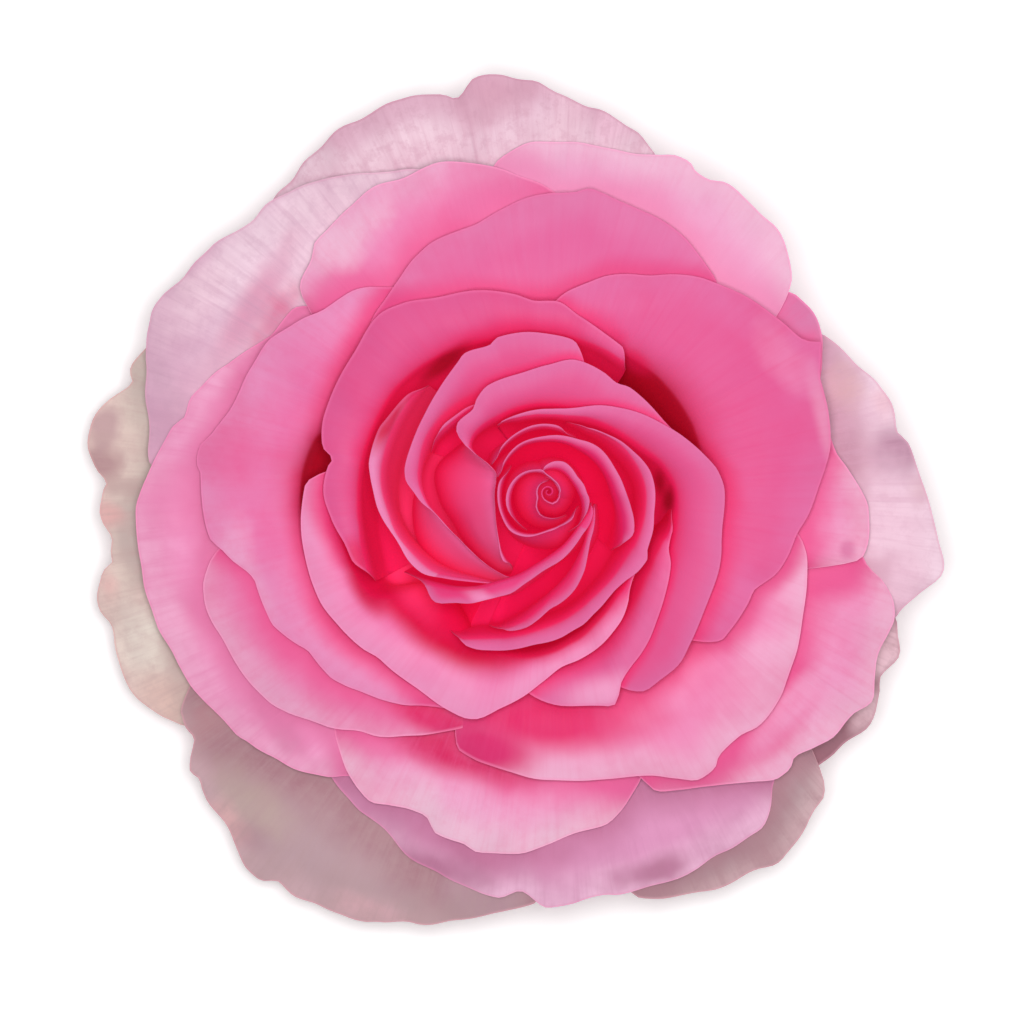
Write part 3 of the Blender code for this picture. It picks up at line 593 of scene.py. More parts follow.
def sway(x: np.ndarray, y: np.ndarray) -> np.ndarray:
    """Slow rise and fall that all lips share, so that they keep their distance.

    Args:
        x: places to the right of the bloom's axis, in millimetres.
        y: places behind it, in millimetres.

    Returns:
        One rise for each place, in millimetres.
    """
    radius = np.hypot(x, y)
    azimuth = np.arctan2(y, x)
    waves = sum(depth * np.sin(count * azimuth + twist * radius + start)
                for depth, count, twist, start in SWAYS)
    return smooth(*SWAY_GROWS, radius) * waves


def unit(vectors: np.ndarray) -> np.ndarray:
    """The same vectors, one unit long."""
    return vectors / np.maximum(np.linalg.norm(vectors, axis=-1, keepdims=True), 1e-12)


@dataclass
class Blade:
    """A sheet of points with a thickness, made into one closed mesh.

    points is shaped (rows, columns, 3), in millimetres, from the foot to the rim. thickness is
    shaped (rows, columns). marks are further numbers for each point, kept as attributes.
    """
    points: np.ndarray
    thickness: np.ndarray
    marks: dict[str, np.ndarray] = field(default_factory=dict)

    def normals(self) -> np.ndarray:
        """Unit normals of the sheet, towards its upper side."""
        return unit(np.cross(np.gradient(self.points, axis=0), np.gradient(self.points, axis=1)))

    def border(self) -> tuple[np.ndarray, np.ndarray]:
        """The sheet's edge, in order.

        Returns:
            Index of each point along the edge, and its outward direction.
        """
        rows, columns = self.thickness.shape
        index = np.arange(rows * columns).reshape(rows, columns)
        loop = np.concatenate((index[0, :-1], index[:-1, -1], index[-1, :0:-1], index[:0:-1, 0]))
        along = np.gradient(self.points, axis=0)
        across = np.gradient(self.points, axis=1)
        outward = np.zeros_like(self.points)
        outward[0] -= unit(along[0])
        outward[-1] += unit(along[-1])
        outward[:, 0] -= unit(across[:, 0])
        outward[:, -1] += unit(across[:, -1])
        return loop, unit(outward.reshape(-1, 3)[loop])

    def mesh(self, name: str) -> bpy.types.Mesh:
        """The closed mesh: two faces of the sheet and a rounded edge between them.

        Args:
            name: the mesh's name.

        Returns:
            The mesh, in metres.
        """
        rows, columns = self.thickness.shape
        normal = self.normals()
        half = 0.5 * self.thickness[..., None]
        upper = (self.points + normal * half).reshape(-1, 3)
        lower = (self.points - normal * half).reshape(-1, 3)
        loop, outward = self.border()
        middle = self.points.reshape(-1, 3)[loop]
        edge = middle + outward * half.reshape(-1, 1)[loop]
        count = rows * columns
        index = np.arange(count).reshape(rows, columns)
        a, b = index[:-1, :-1].ravel(), index[:-1, 1:].ravel()
        c, d = index[1:, 1:].ravel(), index[1:, :-1].ravel()
        top = np.stack((a, d, c, b), axis=1)
        bottom = np.stack((a, b, c, d), axis=1) + count
        ring = np.arange(len(loop)) + 2 * count
        after = np.roll(loop, -1)
        ring_after = np.roll(ring, -1)
        over = np.stack((loop, after, ring_after, ring), axis=1)
        under = np.stack((ring, ring_after, after + count, loop + count), axis=1)
        faces = np.concatenate((top, bottom, over, under))
        made = bpy.data.meshes.new(name)
        made.from_pydata((np.concatenate((upper, lower, edge)) * MM).tolist(), [], faces.tolist())
        self._keep_marks(made, loop)
        self._keep_map(made, loop)
        made.shade_smooth()
        made.validate()
        return made

    def _keep_marks(self, made: bpy.types.Mesh, loop: np.ndarray) -> None:
        """Stores the marks, and "upper", which is 1 on the upper side and 0 under it.

        Args:
            made: the mesh.
            loop: the sheet's edge, as border() gives it.
        """
        for title, values in self.marks.items():
            flat = values.reshape(-1)
            store = made.attributes.new(title, "FLOAT", "POINT")
            store.data.foreach_set("value", np.concatenate((flat, flat, flat[loop])).astype(float))
        count = self.thickness.size
        side = np.concatenate((np.ones(count), np.zeros(count), np.full(len(loop), 0.5)))
        made.attributes.new("upper", "FLOAT", "POINT").data.foreach_set("value", side)

    def _keep_map(self, made: bpy.types.Mesh, loop: np.ndarray) -> None:
        """Stores lengths over the sheet as its UV map: across at full width, and up the blade.

        Args:
            made: the mesh.
            loop: the sheet's edge, as border() gives it.
        """
        rows, columns = self.thickness.shape
        widths = np.linalg.norm(np.diff(self.points[-1], axis=0), axis=1)
        across = np.concatenate(((0.0,), np.cumsum(widths))) * MM
        climbs = np.linalg.norm(np.diff(self.points, axis=0), axis=2)
        along = np.concatenate((np.zeros((1, columns)), np.cumsum(climbs, axis=0))) * MM
        pairs = np.stack((np.broadcast_to(across, (rows, columns)), along), axis=2).reshape(-1, 2)
        pairs = np.concatenate((pairs, pairs, pairs[loop]))
        corners = np.empty(len(made.loops), dtype=np.int32)
        made.loops.foreach_get("vertex_index", corners)
        made.uv_layers.new(name="blade").data.foreach_set("uv", pairs[corners].ravel())


def wavy(points: np.ndarray, length: float, seed: float) -> np.ndarray:
    """Soft random relief from -1 to 1 over a sheet.

    Args:
        points: (..., 2) lengths over the sheet, in millimetres.
        length: size of its puckers, in millimetres.
        seed: a different number for each sheet.

    Returns:
        One value for each point.
    """
    flat = points.reshape(-1, 2) / length
    values = [noise.noise(Vector((x, y, seed))) for x, y in flat]
    return np.array(values).reshape(points.shape[:-1])


class PetalSurface:
    """Works out the finished sheet of one petal from its form."""

    def __init__(self, form: PetalForm, seed: float) -> None:
        """Works out the length of the rim.

        Args:
            form: the petal's outline.
            seed: a number of its own, which its relief and its pattern start from.
        """
        self.form = form
        self.seed = seed
        azimuths = np.linspace(form.rim[0][0], form.rim[-1][0], 200)
        self.length = float(np.mean(table_value(form.rim, azimuths))) * math.radians(
            form.rim[-1][0] - form.rim[0][0])

    def blade(self) -> Blade:
        """The petal's sheet with its lip, roll, frill and puckers.

        Returns:
            The sheet with its marks: how far up a point lies, how steep it is, how far from the
            edge, and how far outside the petals that hide it.
        """
        style = self.form.style
        length = self.length
        columns = int(np.clip(length / style.spacing, *COLUMN_LIMITS))
        side = NOSE / length
        across = np.concatenate(((0.0, side), np.linspace(0.0, 1.0, columns + 1)[1:-1],
                                 (1.0 - side, 1.0)))
        up = np.append(np.linspace(0.0, 1.0, style.rows + 1)[:-1], (LAST_ROW, 1.0))
        u, s = np.meshgrid(across, up)
        t = (1.0 - (1.0 - s) ** ROW_CROWDING) * self.outline(u)
        points = self.plain(u, t)
        climbs = np.linalg.norm(np.diff(points, axis=0), axis=2)
        climbed = np.concatenate((np.zeros((1, len(across))), np.cumsum(climbs, axis=0)))
        to_rim = climbed[-1] - climbed
        over = np.stack((u * length, climbed), axis=2)
        to_edge = np.minimum(to_rim, np.minimum(u, 1 - u) * length + 0.6 * to_rim)
        inner = smooth(0.0, THINNED_OVER, to_edge)
        sheet = Blade(points, style.margin + (style.thickness - style.margin) * inner)
        steep = 1.0 - smooth(*STEEP_TO_LEVEL, np.abs(sheet.normals()[..., 2]))
        sheet.points = points + sheet.normals() * self.relief(over, to_rim, t)[..., None]
        sheet.points[..., 2] += sway(points[..., 0], points[..., 1])
        roll = style.roll * (1 - smooth(0.0, ROLLED_OVER * (1 + style.roll), to_rim)) ** 2
        sheet.points[..., 2] -= roll * smooth(0.5, 0.9, t)
        radius = np.hypot(points[..., 0], points[..., 1])
        azimuth = np.degrees(np.arctan2(points[..., 1], points[..., 0]))
        sheet.marks = {"rise": t, "steep": steep, "to_rim": to_edge,
                       "open": radius - self.cover(azimuth)}
        return sheet

    def outline(self, u: np.ndarray) -> np.ndarray:
        """Share of its full height that the petal reaches: its two upper corners are rounded."""
        return TUCKED_TO + (1.0 - TUCKED_TO) * (1.0 - self.cornered(u) ** 2)

    def cornered(self, u: np.ndarray) -> np.ndarray:
        """How near the rounded corners' outer end a point lies.

        Args:
            u: share of the way across the petal.

        Returns:
            1 at the petal's side edges, falling to 0 where its rounded corners end.
        """
        first, last = self.form.corners
        near = np.minimum(u * self.length / min(first, 0.5 * self.length),
                          (1 - u) * self.length / min(last, 0.5 * self.length))
        return 1.0 - np.clip(near, 0.0, 1.0)

    def cover(self, azimuth: np.ndarray) -> np.ndarray:
        """Radius up to which petals further in hide this one from above.

        Args:
            azimuth: where to read it, in degrees.

        Returns:
            One radius for each azimuth, in millimetres.
        """
        angles = np.arange(0.0, 360.0, COVER_STEP)
        own_wall = table_value(self.form.wall, self.form.nearest(angles))
        cover = np.full_like(angles, COVER_LEAST)
        for other in PETALS:
            reading = other.nearest(angles)
            inside = (reading >= other.rim[0][0]) & (reading <= other.rim[-1][0])
            inside &= table_value(other.wall, reading) < own_wall - COVER_GAP
            reach = np.where(inside, table_value(other.rim, reading), COVER_LEAST)
            cover = np.maximum(cover, reach)
        ring = np.concatenate((cover, cover, cover))
        for _ in range(2):
            ring = np.convolve(ring, np.full(COVER_BLUR, 1 / COVER_BLUR), mode="same")
        cover = ring[len(angles):2 * len(angles)]
        return np.interp(azimuth % 360, np.append(angles, 360.0), np.append(cover, cover[0]))

    def plain(self, u: np.ndarray, t: np.ndarray) -> np.ndarray:
        """Points of the petal without relief, near its solid's surface, or on a stand of its own.

        Args:
            u: share of the way across the petal.
            t: share of the way up it.

        Returns:
            (..., 3) points in millimetres.
        """
        form = self.form
        first, last = form.rim[0][0], form.rim[-1][0]
        seat = form.seat if form.seat <= last else form.seat - 360
        claw_radius = float(seat_point(table_value(form.wall, np.array(seat, dtype=float)))[0])
        claw = seat + (2 * u - 1) * math.degrees(CLAW_HALF_WIDTH / max(claw_radius, 1.6))
        spread = smooth(0.0, form.style.full_width_at, t)
        before = 0.5 * math.degrees(form.corners[0] / max(form.rim[0][1], 2.0))
        after = 0.5 * math.degrees(form.corners[1] / max(form.rim[-1][1], 2.0))
        azimuth = claw + (first - before + u * (last - first + before + after) - claw) * spread
        wall = table_value(form.wall, azimuth)
        fold = table_value(form.fold, azimuth)
        rim = table_value(form.rim, azimuth)
        corner = UPRIGHT_CORNER * self.cornered(u) ** 2
        seat_r, seat_z = seat_point(wall)
        crown = self.crown(wall, azimuth)
        belly = BELLY_HEIGHT - BELLY_FALL * (wall - WALL_FIRST)
        low_wall = wall
        if form.stand:
            wall = table_value(form.stand, azimuth)
            low_wall = np.minimum(low_wall, wall)
        wall = wall + corner * (fold - wall)
        rim = rim + corner * (fold - rim)
        weights = spline_weights(t)
        radii = (seat_r, low_wall, wall, fold, rim)
        heights = (seat_z, belly, crown - SHOULDER_DROP, crown, crown)
        radius = sum(weight * value for weight, value in zip(weights, radii))
        height = sum(weight * value for weight, value in zip(weights, heights)) - lip_drop(radius)
        angle = np.radians(azimuth)
        return np.stack((radius * np.cos(angle), radius * np.sin(angle), height), axis=-1)

    def crown(self, wall: np.ndarray, azimuth: np.ndarray) -> np.ndarray:
        """Height at which the petal turns over."""
        return crown_height(wall)

    def relief(self, over: np.ndarray, to_rim: np.ndarray, t: np.ndarray) -> np.ndarray:
        """Depth of puckers and frill along the normal.

        Args:
            over: lengths over the sheet, in millimetres.
            to_rim: lengths up to the rim, in millimetres.
            t: share of the way up the petal.

        Returns:
            One depth for each point, in millimetres.
        """
        style = self.form.style
        large, small = PUCKERS
        pucker = wavy(over * np.array((1.0, 0.45)), large, self.seed)
        pucker += SMALL_PUCKER_DEPTH * wavy(over * np.array((1.0, 0.5)), small, self.seed + 7.0)
        frill = wavy(over * np.array((1.0, 0.15)), FRILLS, self.seed + 13.0)
        near_rim = (1 - smooth(0.0, FRILLED_OVER, to_rim)) ** 2
        worked = style.crinkle * pucker + FRILL_DEPTH * style.frill * frill * near_rim
        return smooth(0.45, 0.85, t) * worked


# Finishes

def srgb(red: float, green: float, blue: float) -> Colour:
    """A linear colour from the 0 to 255 numbers of a screen colour."""
    def channel(value: float) -> float:
        """One channel."""
        share = value / 255
        return share / 12.92 if share <= 0.04045 else ((share + 0.055) / 1.055) ** 2.4
    return channel(red), channel(green), channel(blue)


Number = Union["Value", float]


class Value:
    """A number that varies over a surface. Sums and products with it add Math nodes."""

    def __init__(self, sheet: "NodeSheet", socket: bpy.types.NodeSocket) -> None:
        """Wraps a socket of a node sheet."""
        self.sheet = sheet
        self.socket = socket

    def _math(self, operation: str, first: Number, second: Number) -> "Value":
        """A Math node's result."""
        node = self.sheet.add("ShaderNodeMath", {"operation": operation}, {0: first, 1: second})
        return Value(self.sheet, node.outputs[0])

    def __add__(self, other: Number) -> "Value":
        """self + other."""
        return self._math("ADD", self, other)

    __radd__ = __add__

    def __sub__(self, other: Number) -> "Value":
        """self - other."""
        return self._math("SUBTRACT", self, other)

    def __rsub__(self, other: Number) -> "Value":
        """other - self."""
        return self._math("SUBTRACT", other, self)

    def __mul__(self, other: Number) -> "Value":
        """self times other."""
        return self._math("MULTIPLY", self, other)

    def step(self, low: float, high: float) -> "Value":
        """A soft step from 0 at low to 1 at high, which may be the lower of the two."""
        node = self.sheet.add("ShaderNodeMapRange", {"interpolation_type": "SMOOTHSTEP"},
                              {"Value": self, "From Min": low, "From Max": high})
        return Value(self.sheet, node.outputs[0])


class NodeSheet:
    """Builds one material's nodes."""

    def __init__(self, name: str) -> None:
        """Makes the material with only its shader and output.

        Args:
            name: the material's name.
        """
        self.material = bpy.data.materials.new(name)
        self.material.use_nodes = True
        self.material.cycles.emission_sampling = "NONE"
        self.tree = self.material.node_tree
        self.tree.nodes.clear()
        self.shader = self.add("ShaderNodeBsdfPrincipled")
        self.add("ShaderNodeOutputMaterial", {}, {"Surface": self.shader.outputs[0]})

    def add(self, kind: str, settings: Optional[dict] = None,
            sockets: Optional[dict] = None) -> bpy.types.Node:
        """Adds a node.

        Args:
            kind: the node's type.
            settings: its properties, set first.
            sockets: what goes into its sockets, by name or number: numbers, colours, values or
                other sockets.

        Returns:
            The node.
        """
        node = self.tree.nodes.new(kind)
        for key, setting in (settings or {}).items():
            setattr(node, key, setting)
        for key, content in (sockets or {}).items():
            self.feed(node.inputs[key], content)
        return node

    def feed(self, socket: bpy.types.NodeSocket, content: object) -> None:
        """Links or sets one input."""
        if isinstance(content, Value):
            content = content.socket
        if isinstance(content, bpy.types.NodeSocket):
            self.tree.links.new(content, socket)
        elif isinstance(content, tuple) and socket.type == "RGBA":
            socket.default_value = (*content, 1)
        else:
            socket.default_value = content

    def mark(self, title: str) -> Value:
        """A number kept on the mesh's points."""
        node = self.add("ShaderNodeAttribute", {"attribute_name": title})
        return Value(self, node.outputs["Fac"])

    def place(self) -> bpy.types.NodeSocket:
        """The place in the object's own frame, in metres."""
        return self.add("ShaderNodeTexCoord").outputs["Object"]

    def over(self) -> bpy.types.NodeSocket:
        """The lengths over the sheet, in metres."""
        return self.add("ShaderNodeUVMap", {"uv_map": "blade"}).outputs[0]

    def stretched(self, vector: bpy.types.NodeSocket, scale: tuple[float, float, float],
                  shift: float = 0.0) -> bpy.types.NodeSocket:
        """A pattern's coordinates, scaled along each axis and shifted."""
        node = self.add("ShaderNodeMapping", {},
                        {"Vector": vector, "Scale": scale, "Location": (shift, shift, shift)})
        return node.outputs[0]

    def noise(self, vector: bpy.types.NodeSocket, scale: float = 1.0, detail: float = 2.0,
              roughness: float = 0.5, distortion: float = 0.0) -> Value:
        """Noise from 0 to 1."""
        node = self.add("ShaderNodeTexNoise", {}, {
            "Vector": vector, "Scale": scale, "Detail": detail, "Roughness": roughness,
            "Distortion": distortion})
        return Value(self, node.outputs["Fac"])

    def reach(self, spot: "StainOrPaintedLight") -> Value:
        """Distance from a spot's middle, seen from above.

        Args:
            spot: the patch.

        Returns:
            The distance as a share of its half lengths.
        """
        angle = math.radians(spot.azimuth)
        middle = (spot.radius * MM * math.cos(angle), spot.radius * MM * math.sin(angle), 0.0)
        turned = self.add("ShaderNodeMapping", {"vector_type": "TEXTURE"}, {
            "Vector": self.place(), "Location": middle, "Rotation": (0.0, 0.0, angle),
            "Scale": (spot.along * MM, spot.across * MM, 1000.0)})
        node = self.add("ShaderNodeVectorMath", {"operation": "LENGTH"}, {0: turned.outputs[0]})
        return Value(self, node.outputs["Value"])

    def blend(self, share: Number, first: object, second: object) -> bpy.types.NodeSocket:
        """first where share is 0, second where it is 1."""
        node = self.add("ShaderNodeMix", {"data_type": "RGBA"}, {0: share, 6: first, 7: second})
        return node.outputs[2]

    def bump(self, height: Value, depth: float) -> bpy.types.NodeSocket:
        """A normal from a height of 0 to 1 that is depth metres deep."""
        sockets = {"Strength": 1.0, "Distance": depth, "Height": height}
        return self.add("ShaderNodeBump", {}, sockets).outputs[0]


@dataclass(frozen=True)
class StainOrPaintedLight:
    """One soft-edged patch of another tone on a petal, placed one by one.

    azimuth and radius give its middle, along and across its half lengths away from the bloom's
    middle and round it, in millimetres. core is the share of it that has its full tone, and fray
    is how ragged its border is. Some patches are the petal's own marks; many are painted shade,
    darker where petals overlap or troughs lie in shade, and painted light, which lightens shade
    that the lamps cast.
    """
    azimuth: float
    radius: float
    along: float
    across: float
    colour: Colour
    strength: float = 0.8
    core: float = 0.2
    fray: float = 2.4


@dataclass(frozen=True)
class PetalFinish:
    """A petal's skin. Colours are screen colours from 0 to 255.

    deep is low in the bloom and on steep walls: partly the petals' own deeper colour towards the
    claw, and partly painted shade for the dark troughs. shade is painted shade where petals
    further in have kept the light off, face the open upper side, lip the band along the rim,
    margin its very edge, back the under side and back_deep the foot of the under side. patch is
    the tone of uneven patches and of the veins, where it isn't that of the shade. lip_width and
    shade_width are in millimetres, and deep_from and deep_to are shares of the way up the blade.
    edge, veins, patches and freckles are how strongly the margin, the veins and the large and
    small patches show, mottle is how uneven the lip's width is, relief how deep the veins lie, in
    metres, and velvet the sheen. steepness is how much steep parts take the deep tone as painted
    shade. glow is a painted glow, an emission low in the bloom that stands in for the light that
    the thin petals let pass, and rim_glow a painted highlight, an emission along the thin rim that
    lightens its shaded edge. stains_and_painted_light are patches with a place of their own, some
    of them the petal's own marks and many painted shade and painted light, and
    painted_light_over_deep are painted shade and painted light that lie over the deep tone too.
    """
    deep: Colour
    shade: Colour
    face: Colour
    lip: Colour
    margin: Colour
    back: Colour
    back_deep: Colour
    lip_width: float = 4.0
    shade_width: float = 4.0
    edge: float = 0.4
    deep_from: float = 0.86
    deep_to: float = 0.55
    veins: float = 0.25
    mottle: float = 0.3
    relief: float = 0.00005
    velvet: float = 0.08
    glow: float = 0.0
    patch: Optional[Colour] = None
    patches: float = 0.3
    freckles: float = 0.0
    steepness: float = 0.85
    rim_glow: float = 0.14
    stains_and_painted_light: tuple[StainOrPaintedLight, ...] = ()
    painted_light_over_deep: tuple[StainOrPaintedLight, ...] = ()

    def material(self, name: str, seed: float) -> bpy.types.Material:
        """The finished material.

        Args:
            name: its name.
            seed: shifts the pattern, so that no two petals match.

        Returns:
            The material.
        """
        sheet = NodeSheet(name)
        rise, to_rim, upper = sheet.mark("rise"), sheet.mark("to_rim"), sheet.mark("upper")
        streaks = sheet.noise(sheet.stretched(sheet.over(), (1500, 90, 1), seed), 1.0, 3.0, 0.6,
                              0.3)
        veins = sheet.noise(sheet.stretched(sheet.over(), (620, 30, 1), seed), 1.0, 2.0, 0.5, 0.6)
        cloud = sheet.noise(sheet.stretched(sheet.place(), (95, 95, 60), seed), 1.0, 3.0, 0.55)
        grain = sheet.noise(sheet.place(), 5200, 2.0, 0.6)
        shifted = rise + (cloud - 0.5) * 0.12
        # Deep tone: low down the petal's own colour and painted shade; on steep faces, painted shade
        low = shifted.step(self.deep_from, self.deep_to)
        steep = (sheet.mark("steep") + (cloud - 0.5) * 0.2).step(0.15, 0.85)
        depth = 1 - (1 - low) * (1 - steep * self.steepness)
        wavering = to_rim + (cloud - 0.5) * (1.6 * self.lip_width) * self.mottle
        lip = wavering.step(self.lip_width, 0.0)
        # Painted shade where petals further in cover this one from above
        painted_shade_mask = (sheet.mark("open") + (cloud - 0.5) * self.shade_width).step(
            self.shade_width, 0.0)
        front = sheet.blend(lip, srgb(*self.face), srgb(*self.lip))
        front = sheet.blend(painted_shade_mask, front, srgb(*self.shade))
        # Placed patches: some the petal's own marks, many painted shade and painted light
        front = self.with_spots(sheet, front, self.stains_and_painted_light, cloud)
        front = sheet.blend(depth, front, srgb(*self.deep))
        # Painted shade and painted light laid over the deep tone as well
        front = self.with_spots(sheet, front, self.painted_light_over_deep, cloud)
        back_tint = sheet.blend(wavering.step(self.lip_width, 0.0) * 0.5, srgb(*self.back),
                                srgb(*self.lip))
        lower = shifted.step(self.deep_from - 0.12, self.deep_to - 0.2)
        back_tint = sheet.blend(lower, back_tint, srgb(*self.back_deep))
        colour = sheet.blend(upper, back_tint, front)
        patch = srgb(*(self.patch or self.shade))
        blotches = sheet.noise(sheet.stretched(sheet.place(), (70, 70, 50), 2 * seed), 1.0, 4.0, 0.6)
        colour = sheet.blend(blotches.step(0.42, 0.68) * self.patches * (1 - depth), colour, patch)
        if self.freckles:
            dots = sheet.noise(sheet.stretched(sheet.place(), (620, 620, 300), seed), 1.0, 4.0,
                               0.7)
            colour = sheet.blend(dots.step(0.46, 0.66) * self.freckles * (1 - depth), colour, patch)
        lines = veins.step(0.42, 0.66) * 0.5 + streaks.step(0.45, 0.7) * 0.5
        colour = sheet.blend(lines * self.veins * (1 - depth), colour, patch)
        thin = (1 - low) * to_rim.step(0.5, 0.1)
        colour = sheet.blend(thin * self.edge, colour, srgb(*self.margin))
        height = streaks * 0.45 + veins * 0.9 + grain * 0.12
        normal = sheet.bump(height * (1 - to_rim.step(0.8, 0.0) * 0.6), self.relief)
        shader = sheet.shader
        for key, content in {
                "Base Color": colour, "Roughness": 0.5 + streaks * 0.2, "Normal": normal,
                "Specular IOR Level": 0.2, "Sheen Weight": self.velvet, "Sheen Roughness": 0.45,
                }.items():
            sheet.feed(shader.inputs[key], content)
        shader.inputs["Sheen Tint"].default_value = (1.0, 0.85, 0.9, 1.0)
        # Painted glow: an emission low in the bloom, for the light that thin petals let pass
        painted_glow = (1 - upper * (1 - depth)) * to_rim.step(0.1, 0.9) * self.glow
        # Painted highlight: an emission along the rim that lightens its shaded rolled edge
        painted_glow = painted_glow + (1 - low) * to_rim.step(0.35, 0.0) * self.rim_glow
        sheet.feed(shader.inputs["Emission Color"], sheet.blend(painted_glow, (0.0, 0.0, 0.0), colour))
        shader.inputs["Emission Strength"].default_value = 1.0
        return sheet.material

    def with_spots(self, sheet: NodeSheet, colour: bpy.types.NodeSocket, stains_and_painted_light: tuple[StainOrPaintedLight, ...],
                cloud: Value) -> bpy.types.NodeSocket:
        """A colour with soft patches laid over it, painted shade and painted light among them.

        Args:
            sheet: the material's node sheet.
            colour: what the patches lie on.
            stains_and_painted_light: the patches.
            cloud: noise that frays their edges.

        Returns:
            The patched colour.
        """
        for spot in stains_and_painted_light:
            reach = sheet.reach(spot) + (cloud - 0.5) * spot.fray
            colour = sheet.blend(reach.step(1.25, spot.core) * spot.strength, colour,
                                 srgb(*spot.colour))
        return colour


FINISHES = {
    Whorl.BUD: PetalFinish((234, 28, 98), (230, 30, 106), (228, 46, 114), (222, 102, 156),
                           (222, 102, 156), (230, 50, 112), (232, 24, 92), lip_width=1.4,
                           shade_width=0.8, deep_from=0.86, deep_to=0.5, edge=0.3, veins=0.05,
                           mottle=0.15, relief=0.00002, velvet=0.0, glow=0.19, patches=0.1,
                           rim_glow=0.03, steepness=0.7),
    Whorl.INNER: PetalFinish((233, 34, 102), (230, 60, 124), (225, 86, 144), (221, 105, 160),
                             (222, 105, 159), (229, 78, 132), (232, 32, 98), lip_width=3.0,
                             shade_width=1.6, deep_from=0.88, deep_to=0.62, edge=0.3, veins=0.08,
                             mottle=0.2, relief=0.00003, velvet=0.0, glow=0.165, patches=0.15,
                             rim_glow=0.06),
    Whorl.MIDDLE: PetalFinish((228, 20, 84), (230, 62, 125), (226, 90, 149), (227, 108, 162),
                              (227, 106, 158), (232, 102, 156), (230, 36, 94), lip_width=7.0,
                              shade_width=3.5, edge=0.4, veins=0.14, mottle=0.4, relief=0.00006,
                              velvet=0.0, glow=0.1, patches=0.3, rim_glow=0.1),
    Whorl.OUTER: PetalFinish((230, 24, 84), (236, 92, 150), (243, 158, 200), (246, 182, 212),
                             (240, 146, 190), (240, 150, 192), (236, 70, 130), lip_width=7.0,
                             shade_width=6.0, edge=0.4, veins=0.2, mottle=0.6, relief=0.0001,
                             velvet=0.03, patches=0.3, freckles=0.1),
    Whorl.GUARD: PetalFinish((214, 24, 70), (222, 150, 180), (236, 188, 210), (246, 206, 226),
                             (214, 150, 176), (236, 204, 212), (232, 150, 176), lip_width=9.0,
                             shade_width=5.0, edge=0.5, deep_from=0.66, deep_to=0.42, veins=0.4,
                             mottle=0.6, relief=0.00014, velvet=0.05, patch=(214, 160, 184),
                             patches=0.35, freckles=0.2, steepness=0.0, rim_glow=0.08),
}

